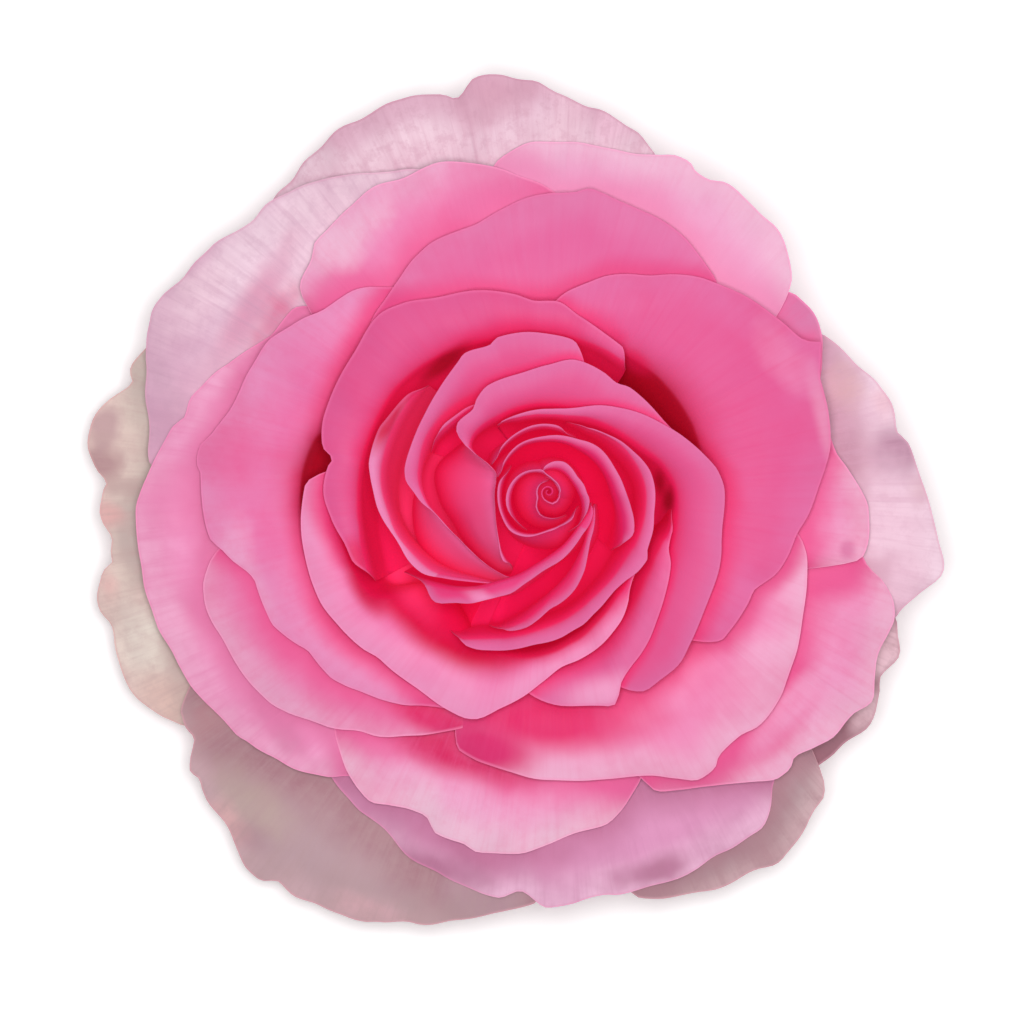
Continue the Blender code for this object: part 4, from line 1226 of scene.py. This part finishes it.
# How single petals depart from the finish of their whorl
OWN_LOOKS = {
    "bud_heart": dict(
        deep=(236, 40, 104), lip=(228, 94, 150), lip_width=2.2, edge=0.15, margin=(238, 70, 130),
        rim_glow=0.02),
    "bud_petal_7": dict(
        shade=(236, 66, 130), face=(236, 66, 130),
        stains_and_painted_light=(StainOrPaintedLight(240, 16.2, 1.2, 3.5, (244, 150, 198), 0.8),)),
    "bud_petal_8": dict(
        shade=(238, 50, 114), face=(238, 60, 122)),
    "inner_petal_4": dict(
        deep=(232, 50, 110)),
    "inner_petal_5": dict(
        deep=(232, 56, 114), shade=(229, 80, 139), face=(227, 94, 150), lip=(232, 138, 186),
        lip_width=2.2,
        stains_and_painted_light=(
            StainOrPaintedLight(137, 22, 3, 5.5, (228, 20, 88), 0.95, 0.4, 0.5),
            StainOrPaintedLight(155, 22.9, 1.7, 5, (208, 26, 72), 0.95, 0.35, 0.5))),
    "inner_petal_6": dict(
        painted_light_over_deep=(
            StainOrPaintedLight(5, 14.5, 0.9, 2.0, (160, 16, 32), 0.7, 0.1, 0.5),
            StainOrPaintedLight(-4, 15.6, 0.9, 2.1, (146, 14, 24), 0.8, 0.1, 0.5))),
    "middle_petal_1": dict(
        deep=(232, 32, 96), face=(225, 84, 142), lip=(225, 91, 148), shade=(230, 56, 118),
        glow=0.13,
        stains_and_painted_light=(StainOrPaintedLight(199, 26.2, 2.6, 3.4, (224, 30, 88), 0.8, 0.3, 0.6),),
        painted_light_over_deep=(StainOrPaintedLight(130, 21.4, 1.2, 4.6, (156, 14, 28), 0.75, 0.2, 0.5),)),
    "middle_petal_2": dict(
        face=(235, 114, 170), lip=(239, 148, 193), margin=(236, 126, 176),
        stains_and_painted_light=(
            StainOrPaintedLight(245, 27, 4, 8, (246, 160, 202), 0.5),
            StainOrPaintedLight(208, 26.6, 2.2, 4.6, (208, 20, 72), 0.9, 0.3, 0.5),
            StainOrPaintedLight(221, 18.5, 7.0, 13, (204, 14, 60), 1.0, 0.75, 0.3)),
        painted_light_over_deep=(StainOrPaintedLight(211, 21.3, 2.8, 6.5, (252, 62, 124), 0.8, 0.3, 0.6),)),
    "middle_petal_3": dict(
        stains_and_painted_light=(StainOrPaintedLight(285, 27.0, 2.8, 6.5, (244, 166, 206), 0.8, 0.1, 0.4),)),
    # Its darker deep tone is painted shade for the dark trough beside it
    "middle_petal_4": dict(
        deep=(190, 14, 50), face=(226, 90, 149), lip=(228, 110, 165), glow=0.04,
        stains_and_painted_light=(
            StainOrPaintedLight(14, 37.0, 1.5, 8, (238, 156, 194), 0.85, 0.2, 0.8),
            StainOrPaintedLight(29, 35.4, 2.6, 5, (236, 134, 180), 0.7)),
        painted_light_over_deep=(StainOrPaintedLight(56, 20.2, 1.6, 3, (234, 30, 96), 0.7, 0.3, 0.5),)),
    "middle_petal_5": dict(
        shade=(229, 76, 137), face=(227, 101, 158), lip=(231, 124, 175)),
    # Its darker deep tone is painted shade for the dark trough beside it
    "middle_petal_6": dict(
        deep=(186, 14, 44), face=(232, 114, 169), lip=(237, 145, 192), margin=(233, 120, 172),
        lip_width=10.0, patches=0.4, mottle=0.8, shade=(235, 80, 140), freckles=0.1, glow=0.04,
        stains_and_painted_light=(
            StainOrPaintedLight(195, 40.6, 3, 8, (242, 172, 210), 0.75),
            StainOrPaintedLight(174, 42, 4, 7, (234, 88, 146), 0.35))),
    "middle_petal_7": dict(
        shade=(230, 84, 142), face=(242, 142, 188), lip=(246, 180, 212), margin=(239, 136, 182),
        stains_and_painted_light=(
            StainOrPaintedLight(318, 37, 5, 8, (246, 184, 216), 0.5),
            StainOrPaintedLight(272, 29.6, 4.6, 14, (226, 40, 106), 1.0, 0.35, 0.5),
            StainOrPaintedLight(255, 34.4, 4.0, 8, (224, 50, 114), 1.0, 0.35, 0.5))),
    "outer_petal_1": dict(
        shade=(238, 100, 156), face=(241, 140, 188), lip=(244, 172, 208), margin=(242, 150, 192),
        veins=0.14,
        stains_and_painted_light=(
            StainOrPaintedLight(128, 42, 4, 7, (248, 196, 222), 0.8),
            StainOrPaintedLight(100, 40, 5, 7, (240, 124, 176), 0.6))),
    "outer_petal_2": dict(
        face=(240, 140, 188), lip=(244, 170, 206),
        stains_and_painted_light=(StainOrPaintedLight(242, 32.6, 3.0, 8, (224, 36, 100), 1.0, 0.3, 0.5),)),
    "outer_petal_3": dict(
        shade=(234, 122, 170), face=(252, 160, 206), lip=(255, 180, 216), margin=(238, 128, 178),
        lip_width=9.0, patch=(240, 132, 182), veins=0.4, patches=0.5, mottle=0.8, shade_width=4.0,
        stains_and_painted_light=(
            StainOrPaintedLight(181, 49, 4, 6, (238, 116, 168), 0.4),
            StainOrPaintedLight(222, 46, 3, 9, (214, 112, 156), 0.6))),
    "outer_petal_4": dict(
        shade=(238, 104, 160), face=(245, 170, 208), lip=(250, 200, 224),
        stains_and_painted_light=(StainOrPaintedLight(253, 35.6, 3.6, 11, (216, 34, 96), 1.0, 0.3, 0.5),)),
    "outer_petal_5": dict(
        stains_and_painted_light=(StainOrPaintedLight(-41, 42.0, 2.2, 9, (244, 162, 202), 0.85, 0.3, 0.6),)),
    "outer_petal_6": dict(
        stains_and_painted_light=(
            StainOrPaintedLight(37, 40.5, 4, 7, (218, 130, 176), 0.85),
            StainOrPaintedLight(-11, 39.4, 1.3, 1.6, (212, 108, 158), 0.6))),
    "outer_petal_7": dict(
        shade=(240, 144, 188), face=(243, 170, 208), lip=(247, 190, 218)),
    "outer_petal_8": dict(
        deep=(170, 40, 86), shade=(204, 124, 162), face=(234, 158, 200), lip=(255, 200, 230),
        margin=(226, 132, 176), lip_width=8.0, patch=(214, 138, 178), veins=0.35, patches=0.5,
        stains_and_painted_light=(
            StainOrPaintedLight(286, 51.2, 2.8, 7.5, (190, 116, 150), 0.85),
            StainOrPaintedLight(253, 51.0, 2.7, 9, (188, 116, 150), 0.9, 0.2, 1.2))),
    "guard_petal_1": dict(
        shade=(240, 190, 212), face=(230, 180, 206), lip=(232, 184, 208), lip_width=10.0,
        patch=(212, 160, 188), margin=(226, 160, 190),
        stains_and_painted_light=(
            StainOrPaintedLight(142, 46, 9, 12, (255, 222, 238), 0.9),
            StainOrPaintedLight(118, 46, 4, 12, (252, 216, 232), 0.95),
            StainOrPaintedLight(152, 53, 4, 6, (255, 216, 232), 0.6), StainOrPaintedLight(174, 47, 8, 9, (222, 162, 194), 0.7),
            StainOrPaintedLight(147, 45.2, 2.6, 9.5, (228, 154, 185), 0.85, 0.3, 1.2),
            StainOrPaintedLight(147, 42.0, 2.6, 6, (224, 118, 156), 0.9)),
        painted_light_over_deep=(StainOrPaintedLight(172, 29.2, 3.0, 4.4, (200, 20, 70), 0.5, 0.4, 0.4),)),
    "guard_petal_2": dict(
        shade=(240, 202, 218), face=(248, 212, 228), lip=(234, 184, 206), margin=(206, 138, 164),
        patch=(214, 156, 180), freckles=0.35,
        stains_and_painted_light=(
            StainOrPaintedLight(112, 48, 3.5, 8, (252, 218, 232), 0.8),
            StainOrPaintedLight(126, 52.6, 3, 4, (250, 224, 236), 0.7),
            StainOrPaintedLight(98, 52, 4, 6, (220, 158, 182), 0.7),
            StainOrPaintedLight(87, 48.6, 5, 3.4, (252, 212, 228), 0.8),
            StainOrPaintedLight(80, 48, 4, 3, (250, 200, 222), 0.7))),
    "guard_petal_3": dict(
        shade=(214, 194, 186), face=(248, 222, 212), lip=(248, 218, 210), margin=(232, 174, 178),
        patch=(208, 172, 170), patches=0.5, lip_width=6.0,
        stains_and_painted_light=(
            StainOrPaintedLight(176.5, 58.5, 4, 2.5, (172, 118, 130), 0.75),
            StainOrPaintedLight(171.6, 58.4, 2.4, 3, (198, 158, 164), 0.8),
            StainOrPaintedLight(195.4, 55, 2.5, 3, (250, 218, 210), 0.8),
            StainOrPaintedLight(179, 55, 5, 2, (196, 160, 160), 0.6), StainOrPaintedLight(187, 54, 3, 6, (208, 182, 180), 0.5),
            StainOrPaintedLight(183, 58, 2.5, 2, (242, 178, 178), 0.7),
            StainOrPaintedLight(192, 58.5, 2, 3, (248, 190, 188), 0.6),
            StainOrPaintedLight(199, 56, 4, 7, (255, 244, 232), 0.9),
            StainOrPaintedLight(209, 57, 3, 5, (250, 204, 194), 0.6))),
    # Its greyed tones are partly painted shade, for the shade on this petal at the bloom's lower
    # left
    "guard_petal_4": dict(
        shade=(178, 126, 138), face=(198, 164, 172), lip=(216, 178, 186), margin=(232, 168, 182),
        patch=(196, 160, 164), patches=0.5, lip_width=7.0, shade_width=8.0,
        stains_and_painted_light=(
            StainOrPaintedLight(213, 53, 5, 3, (204, 146, 154), 0.6), StainOrPaintedLight(227, 56, 4, 6, (204, 180, 166), 0.5),
            StainOrPaintedLight(226, 60.5, 2.5, 5, (240, 186, 188), 0.8),
            StainOrPaintedLight(229.5, 59.5, 2.5, 3, (176, 128, 144), 0.45),
            StainOrPaintedLight(248, 59.5, 2.5, 9, (230, 180, 190), 0.8),
            StainOrPaintedLight(262, 53, 4, 7, (204, 166, 180), 0.6))),
    "guard_petal_5": dict(
        shade=(182, 134, 146), face=(196, 170, 174), lip=(224, 186, 192), margin=(230, 168, 182),
        patch=(182, 134, 144), patches=0.5, lip_width=6.0),
    "guard_petal_6": dict(
        shade=(166, 112, 126), face=(190, 142, 152), lip=(208, 162, 170), margin=(208, 150, 166),
        patch=(172, 122, 134),
        stains_and_painted_light=(
            StainOrPaintedLight(335, 48.4, 2.6, 4.5, (250, 208, 220), 0.95, 0.5, 0.5),
            StainOrPaintedLight(326, 50.4, 2.0, 4, (240, 200, 210), 0.9, 0.3, 0.6))),
    "guard_petal_7": dict(
        shade=(206, 150, 172), face=(250, 200, 222), lip=(255, 222, 238), margin=(228, 164, 190),
        patch=(224, 172, 196), shade_width=8.0,
        stains_and_painted_light=(
            StainOrPaintedLight(6, 45.6, 3.6, 4.2, (192, 138, 164), 0.95, 0.3, 1.0),
            StainOrPaintedLight(0, 48, 1.8, 2.6, (216, 166, 178), 0.8, 0.2, 1.2),
            StainOrPaintedLight(15, 45.4, 2.4, 2.6, (250, 202, 216), 0.8),
            StainOrPaintedLight(20, 41, 3, 4, (230, 178, 184), 0.7), StainOrPaintedLight(-4, 45, 6, 7, (253, 214, 232), 0.85),
            StainOrPaintedLight(-16, 47, 3, 4, (252, 208, 228), 0.85))),
}


@dataclass(frozen=True)
class GreenFinish:
    """The skin of a sepal, the hip or the stalk. Colours are screen colours from 0 to 255.

    top is painted deep-red shade on what stands inside the bloom, higher than top_height, in
    millimetres, where the dome shows between the petals' claws.
    """
    leaf: Colour = (104, 136, 62)
    pale: Colour = (150, 174, 96)
    blush: Colour = (140, 74, 58)
    blush_share: float = 0.35
    top: Colour = (236, 12, 40)
    top_height: float = 90.0

    def material(self, name: str) -> bpy.types.Material:
        """The finished material, with mottling, a blush and fine bumps.

        Args:
            name: its name.

        Returns:
            The material.
        """
        sheet = NodeSheet(name)
        cloud = sheet.noise(sheet.place(), 160, 4.0, 0.6)
        specks = sheet.noise(sheet.place(), 1400, 3.0, 0.6)
        streaks = sheet.noise(sheet.stretched(sheet.place(), (700, 700, 90)), 1.0, 2.0, 0.5)
        colour = sheet.blend(cloud.step(0.3, 0.7), srgb(*self.leaf), srgb(*self.pale))
        colour = sheet.blend(streaks.step(0.5, 0.8) * 0.35, colour, srgb(*self.pale))
        colour = sheet.blend(specks.step(0.55, 0.75) * self.blush_share, colour, srgb(*self.blush))
        parts = sheet.add("ShaderNodeSeparateXYZ", {}, {0: sheet.place()})
        height = Value(sheet, parts.outputs["Z"])
        # Painted deep-red shade on the dome inside the bloom, above top_height
        colour = sheet.blend(height.step((self.top_height - 1) * MM, self.top_height * MM), colour,
                             srgb(*self.top))
        for key, content in {
                "Base Color": colour, "Roughness": 0.45 + cloud * 0.2,
                "Normal": sheet.bump(specks * 0.6 + streaks * 0.5, 0.00008),
                "Specular IOR Level": 0.4, "Subsurface Weight": 0.12,
                "Subsurface Scale": 0.001}.items():
            sheet.feed(sheet.shader.inputs[key], content)
        sheet.shader.inputs["Subsurface Radius"].default_value = (0.6, 1.0, 0.3)
        return sheet.material


def finish_of(form: PetalForm) -> PetalFinish:
    """The finish of a petal: that of its whorl, but for its own departures."""
    return replace(FINISHES[form.whorl], **OWN_LOOKS.get(form.name, {}))


# Sub-assemblies

def link(name: str, mesh: bpy.types.Mesh) -> bpy.types.Object:
    """A new object at the origin.

    Args:
        name: its name.
        mesh: its mesh.

    Returns:
        The object.
    """
    item = bpy.data.objects.new(name, mesh)
    bpy.context.scene.collection.objects.link(item)
    return item


def dress(item: bpy.types.Object, finish: bpy.types.Material, slot: str, *nodes: str) -> None:
    """Gives a piece its finish and its place in the frame.

    Args:
        item: the piece.
        finish: its material.
        slot: not used; the name of the slot that the finish belongs to.
        nodes: the solids that the piece stands for.
    """
    item.data.materials.clear()
    item.data.materials.append(finish)
    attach(item, "root")
    if nodes:
        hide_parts(*nodes)
    LOG.info("%s: %d faces", item.name, len(item.data.polygons))


def make_petal(surface: PetalSurface, ending: str) -> None:
    """Makes and dresses one petal.

    Args:
        surface: its form and its seed.
        ending: what the piece's name adds to the node's.
    """
    form = surface.form
    item = link(form.name + ending, surface.blade().mesh(form.name))
    skin = finish_of(form).material(form.name + "_skin", surface.seed)
    dress(item, skin, form.whorl.value + "_petal", form.name)


@dataclass
class Bloom:
    """All open petals."""
    forms: tuple[PetalForm, ...] = PETALS
    seed_step: float = 3.7

    def build(self) -> None:
        """Makes and dresses each petal, from the heart outwards."""
        for number, form in enumerate(self.forms):
            make_petal(PetalSurface(form, self.seed_step * number), "_blade")


class HeartSurface(PetalSurface):
    """The innermost petal, rolled into a coil. Its azimuths run past a full turn."""

    def crown(self, wall: np.ndarray, azimuth: np.ndarray) -> np.ndarray:
        """Height of the coil's lip, highest at its inner end."""
        return HEART_HEIGHT - HEART_FALL * (azimuth - self.form.rim[0][0])


@dataclass
class Heart:
    """The rolled heart of the bloom."""
    form: PetalForm = PetalForm(
        "bud_heart", 106,
        ((-620, 0.5), (-500, 0.9), (-390, 1.3), (-291, 1.7), (-238, 1.9), (-170, 2.3), (-99, 2.9),
         (-61, 3.3), (-27, 3.3), (34, 3.0), (73, 3.0), (106, 3.1)),
        ((-620, 0.05), (-500, 0.08), (-390, 0.10), (-340, 0.13), (-291, 0.2), (-238, 0.3),
         (-170, 0.45), (-99, 0.75), (-61, 1.1), (-27, 1.05), (34, 0.9), (73, 1.2), (106, 1.7)),
        ((-620, 0.2), (-500, 0.34), (-420, 0.5), (-340, 0.64), (-291, 0.7), (-238, 0.76),
         (-170, 0.9), (-99, 1.3), (-61, 1.75), (-27, 1.65), (34, 1.45), (73, 1.8), (106, 2.3)),
        (0.3, 0.6))
    seed: float = 1.3

    def build(self) -> None:
        """Makes and dresses the coil."""
        make_petal(HeartSurface(self.form, self.seed), "_coil")


@dataclass(frozen=True)
class HairCoat:
    """Fine bristles all over a green piece, set by a Geometry Nodes tree. Sizes are in metres."""
    density: float = 1.1e6
    length: float = 0.42 * MM
    width: float = 0.05 * MM
    sides: int = 5
    tilt: float = 0.5

    def tree(self) -> bpy.types.NodeTree:
        """Scatters tapered bristles over a mesh, joins them to it and gives all one material.

        Returns:
            The tree, with a named input for each number that pieces set for themselves.
        """
        tree = bpy.data.node_groups.new("hair_coat", "GeometryNodeTree")
        for title, kind in (("Geometry", "Geometry"), ("Density", "Float"), ("Length", "Float"),
                            ("Width", "Float"), ("Tilt", "Float"), ("Seed", "Int"),
                            ("Skin", "Material")):
            tree.interface.new_socket(title, in_out="INPUT", socket_type="NodeSocket" + kind)
        tree.interface.new_socket("Geometry", in_out="OUTPUT", socket_type="NodeSocketGeometry")
        given = tree.nodes.new("NodeGroupInput").outputs
        scatter = self.node(tree, "GeometryNodeDistributePointsOnFaces", {
            "Mesh": given["Geometry"], "Density": given["Density"], "Seed": given["Seed"]})
        bristle = self.node(tree, "GeometryNodeMeshCone", {
            "Vertices": self.sides, "Radius Top": 0.15 * self.width,
            "Radius Bottom": given["Width"], "Depth": given["Length"]})
        sizes = self.random_vector(tree, (0.8, 0.8, 0.4), (1.3, 1.3, 1.5), given["Seed"])
        upright = self.node(tree, "GeometryNodeInstanceOnPoints", {
            "Points": scatter.outputs["Points"], "Instance": bristle.outputs["Mesh"],
            "Rotation": scatter.outputs["Rotation"], "Scale": sizes})
        lean = self.random_vector(tree, (-1.0, -1.0, -3.1), (1.0, 1.0, 3.1), given["Seed"])
        leant = self.node(tree, "ShaderNodeVectorMath", {0: lean, 1: given["Tilt"]}, "MULTIPLY")
        turned = self.node(tree, "GeometryNodeRotateInstances", {
            "Instances": upright.outputs["Instances"], "Rotation": leant.outputs[0]})
        both = self.node(tree, "GeometryNodeJoinGeometry", {"Geometry": given["Geometry"]})
        tree.links.new(turned.outputs["Instances"], both.inputs["Geometry"])
        real = self.node(tree, "GeometryNodeRealizeInstances", {"Geometry": both.outputs[0]})
        painted = self.node(tree, "GeometryNodeSetMaterial", {
            "Geometry": real.outputs[0], "Material": given["Skin"]})
        self.node(tree, "NodeGroupOutput", {"Geometry": painted.outputs[0]})
        return tree

    @staticmethod
    def node(tree: bpy.types.NodeTree, kind: str, inputs: dict,
             operation: Optional[str] = None) -> bpy.types.Node:
        """A node of the tree with its inputs linked or set.

        Args:
            tree: the tree.
            kind: the node's type.
            inputs: a socket to link from, or a value, for each named input.
            operation: what a maths node does.

        Returns:
            The node.
        """
        node = tree.nodes.new(kind)
        if operation:
            node.operation = operation
        for key, content in inputs.items():
            if isinstance(content, bpy.types.NodeSocket):
                tree.links.new(content, node.inputs[key])
            else:
                node.inputs[key].default_value = content
        return node

    @staticmethod
    def random_vector(tree: bpy.types.NodeTree, least: tuple, most: tuple,
                      seed: bpy.types.NodeSocket) -> bpy.types.NodeSocket:
        """A random vector for each bristle.

        Args:
            tree: the tree.
            least: its least numbers.
            most: its greatest numbers.
            seed: where its draws start.

        Returns:
            The vector's socket.
        """
        node = tree.nodes.new("FunctionNodeRandomValue")
        node.data_type = "FLOAT_VECTOR"
        node.inputs[0].default_value = least
        node.inputs[1].default_value = most
        tree.links.new(seed, node.inputs["Seed"])
        return node.outputs[0]

    def cover(self, item: bpy.types.Object, tree: bpy.types.NodeTree,
              skin: bpy.types.Material, seed: int) -> None:
        """Grows the bristles on a piece and keeps the result as its plain mesh.

        Args:
            item: the piece.
            tree: the tree made by tree().
            skin: the material of the piece and its bristles.
            seed: where its random draws start.
        """
        modifier = item.modifiers.new("hairs", "NODES")
        modifier.node_group = tree
        chosen = {"Density": self.density, "Length": self.length, "Width": self.width,
                  "Tilt": self.tilt, "Seed": seed, "Skin": skin}
        for entry in tree.interface.items_tree:
            if entry.in_out == "INPUT" and entry.name in chosen:
                modifier[entry.identifier] = chosen[entry.name]
        depsgraph = bpy.context.evaluated_depsgraph_get()
        grown = bpy.data.meshes.new_from_object(item.evaluated_get(depsgraph),
                                                preserve_all_data_layers=True,
                                                depsgraph=depsgraph)
        item.modifiers.remove(modifier)
        item.data = grown


@dataclass
class Calyx:
    """The five sepals, the hip and the cut stub of the stalk. Sizes are in millimetres.

    path is a sepal's midrib as (radius, height) pairs, with its width at each as a share of
    half_width, and lobes are (place along it, reach) pairs. hip is the profile below the dome, as
    (radius, height) pairs, and hip_share is the dressed hip's size by its solid's.
    """
    sepal_count: int = 5
    first_azimuth: float = 18.0
    half_width: float = 3.4
    cup: float = 0.5
    path: tuple = ((8.1, 12.2), (12.0, 12.6), (16.0, 11.2), (19.5, 8.2), (22.5, 4.4), (25.0, 1.6),
                   (27.5, 0.55))
    widths: tuple = (0.62, 1.0, 0.92, 0.60, 0.44, 0.26, 0.06)
    lobes: tuple = ((1.9, 0.5), (2.7, 1.1), (3.4, 0.8))
    lobe_width: float = 0.13
    thickness: float = 0.30
    keel_depth: float = 0.28
    keel_width: float = 0.16
    hip: tuple = ((7.35, 12.6), (7.0, 12.0), (6.85, 11.4), (7.05, 10.6), (7.2, 9.6), (7.1, 8.4),
                  (6.7, 7.0), (6.0, 5.6), (5.0, 4.5), (3.9, 3.7), (3.2, 3.0), (3.0, 2.2),
                  (2.95, 1.2), (3.0, 0.15), (2.9, 0.0), (2.0, 0.0), (1.2, 0.0))
    hip_share: float = 0.98
    rib_depth: float = 0.12
    rows: int = 60
    columns: int = 24
    ring_sides: int = 96
    sepal_seed: int = 31
    hip_seed: int = 47

    def build(self) -> None:
        """Makes and dresses the sepals and the receptacle."""
        sepal_skin = GreenFinish().material("sepal_skin")
        sepal_hairs = HairCoat()
        tree = sepal_hairs.tree()
        for number in range(self.sepal_count):
            name = f"sepal_{number + 1}"
            item = link(name + "_leaf", self.sepal(number).mesh(name))
            sepal_hairs.cover(item, tree, sepal_skin, self.sepal_seed + number)
            dress(item, sepal_skin, "sepal", name)
        hip_skin = GreenFinish(blush_share=0.2, top_height=14.4).material("hip_skin")
        item = link("receptacle_hip", self.hip_mesh())
        HairCoat(density=2.2e5, length=0.3 * MM).cover(item, tree, hip_skin, self.hip_seed)
        dress(item, hip_skin, "hip", "receptacle")

    def sepal(self, number: int) -> Blade:
        """One reflexed sepal with lobed sides and a keeled midrib.

        Args:
            number: which of the five.

        Returns:
            Its sheet.
        """
        stations = tuple(float(i) for i in range(len(self.path)))
        s = np.linspace(0.0, stations[-1], self.rows + 1)
        radius = table_value(tuple(zip(stations, (p[0] for p in self.path))), s)[:, None]
        height = table_value(tuple(zip(stations, (p[1] for p in self.path))), s)[:, None]
        width = table_value(tuple(zip(stations, self.widths)), s)[:, None] * self.half_width
        across = np.linspace(-1.0, 1.0, self.columns + 1)[None, :]
        lobe = np.zeros_like(width)
        for place, reach in self.lobes:
            away = s[:, None] - place - 0.05 * number
            lobe += reach * np.exp(-(away / self.lobe_width) ** 2)
        outer = smooth(0.7, 1.0, np.abs(across)) * np.sign(across)
        side = across * width + outer * lobe * (number % 2 * 0.5 + 0.5)
        rise = self.cup * across ** 2 * width / self.half_width
        angle = math.radians(self.first_azimuth + 360 * number / self.sepal_count)
        points = np.stack((radius * math.cos(angle) - side * math.sin(angle),
                           radius * math.sin(angle) + side * math.cos(angle),
                           height + rise + 0 * across), axis=-1)
        keel = self.keel_depth * np.exp(-(across / self.keel_width) ** 2)
        thickness = (self.thickness + keel) * np.ones_like(side)
        thickness += 0.12 * smooth(0.5, 0.0, np.abs(across))
        return Blade(points, thickness)

    def hip_mesh(self) -> bpy.types.Mesh:
        """Dome, hip and cut stub, turned, with five soft ribs below the sepals.

        Returns:
            The mesh, in metres.
        """
        dome = [(DOME_RADIUS * math.sin(math.radians(a)),
                 DOME_CENTRE + DOME_RADIUS * math.cos(math.radians(a))) for a in range(4, 91, 6)]
        made = bmesh.new()
        rings = []
        for radius, height in (*dome, *self.hip):
            ring = []
            ribbed = self.rib_depth * smooth(12.0, 8.0, height) * smooth(2.5, 5.0, height)
            for side in range(self.ring_sides):
                angle = 2 * math.pi * side / self.ring_sides
                rib = math.cos(5 * (angle - math.radians(self.first_azimuth)))
                reach = radius * self.hip_share + ribbed * rib
                ring.append(made.verts.new((MM * reach * math.cos(angle),
                                            MM * reach * math.sin(angle), MM * height)))
            rings.append(ring)
        for upper, lower in zip(rings, rings[1:]):
            for side in range(self.ring_sides):
                after = (side + 1) % self.ring_sides
                made.faces.new((lower[side], lower[after], upper[after], upper[side]))
        for ring, height in ((rings[0], DOME_CENTRE + DOME_RADIUS), (rings[-1], 0.0)):
            pole = made.verts.new((0, 0, MM * height))
            for side in range(self.ring_sides):
                made.faces.new((ring[side], ring[(side + 1) % self.ring_sides], pole))
        bmesh.ops.recalc_face_normals(made, faces=made.faces)
        mesh = bpy.data.meshes.new("receptacle")
        made.to_mesh(mesh)
        made.free()
        mesh.shade_smooth()
        return mesh


@dataclass
class Studio:
    """Pale floor, soft light and the camera that looks straight down.

    Sizes are in metres, but for the camera's sensor, which is in millimetres.
    """
    view_centre: tuple[float, float] = (-0.00468, -0.0026)
    view_width: float = 0.1331
    focus_height: float = 0.020
    distance: float = 4.0
    sensor: float = 36.0
    floor_half: float = 1.5
    floor_tone: Colour = (0.93, 0.93, 0.93)
    floor_glow: float = 0.2
    sky: float = 0.22
    key_power: float = 2.5
    key_place: tuple[float, float, float] = (0.35, 0.45, 1.15)
    key_size: float = 0.8
    top_power: float = 13.5
    top_place: tuple[float, float, float] = (0.0, 0.0, 1.4)
    top_size: float = 0.4

    def build(self) -> None:
        """Makes the floor, the lights and the camera."""
        self.floor()
        self.lights()
        self.camera()

    def floor(self) -> None:
        """A plain pale table top."""
        half = self.floor_half
        mesh = bpy.data.meshes.new("table_top")
        mesh.from_pydata([(-half, -half, 0), (half, -half, 0), (half, half, 0), (-half, half, 0)],
                         [], [(0, 1, 2, 3)])
        sheet = NodeSheet("table_top_paint")
        for key, content in {"Base Color": self.floor_tone, "Roughness": 0.9,
                             "Specular IOR Level": 0.1, "Emission Color": (1.0, 1.0, 1.0),
                             "Emission Strength": self.floor_glow}.items():
            sheet.feed(sheet.shader.inputs[key], content)
        mesh.materials.append(sheet.material)
        link("table_top", mesh)

    def lights(self) -> None:
        """An even sky, a light from straight above and a weaker, broader one, upper right."""
        world = bpy.data.worlds.new("studio_sky")
        world.use_nodes = True
        background = world.node_tree.nodes["Background"]
        background.inputs["Color"].default_value = (1.0, 1.0, 1.0, 1.0)
        background.inputs["Strength"].default_value = self.sky
        bpy.context.scene.world = world
        for name, place, power, size in (
                ("key_light", self.key_place, self.key_power, self.key_size),
                ("top_light", self.top_place, self.top_power, self.top_size)):
            light = bpy.data.lights.new(name, "AREA")
            light.energy = power
            light.size = size
            item = bpy.data.objects.new(name, light)
            item.location = place
            item.rotation_euler = Vector(place).to_track_quat("Z", "Y").to_euler()
            bpy.context.scene.collection.objects.link(item)

    def camera(self) -> None:
        """A long lens straight above the bloom, with +Y up in the picture."""
        camera = bpy.data.cameras.new("camera")
        camera.sensor_width = self.sensor
        camera.lens = self.sensor * self.distance / self.view_width
        camera.clip_start = 0.01
        camera.clip_end = 20.0
        item = bpy.data.objects.new("camera", camera)
        item.location = (*self.view_centre, self.focus_height + self.distance)
        bpy.context.scene.collection.objects.link(item)
        bpy.context.scene.camera = item


def main() -> None:
    """Builds the rose around the frame."""
    logging.basicConfig(level=logging.INFO, format="%(name)s %(message)s")
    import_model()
    bpy.context.scene.view_settings.view_transform = "Standard"
    Bloom().build()
    Heart().build()
    Calyx().build()
    Studio().build()


if __name__ == "__main__":
    main()
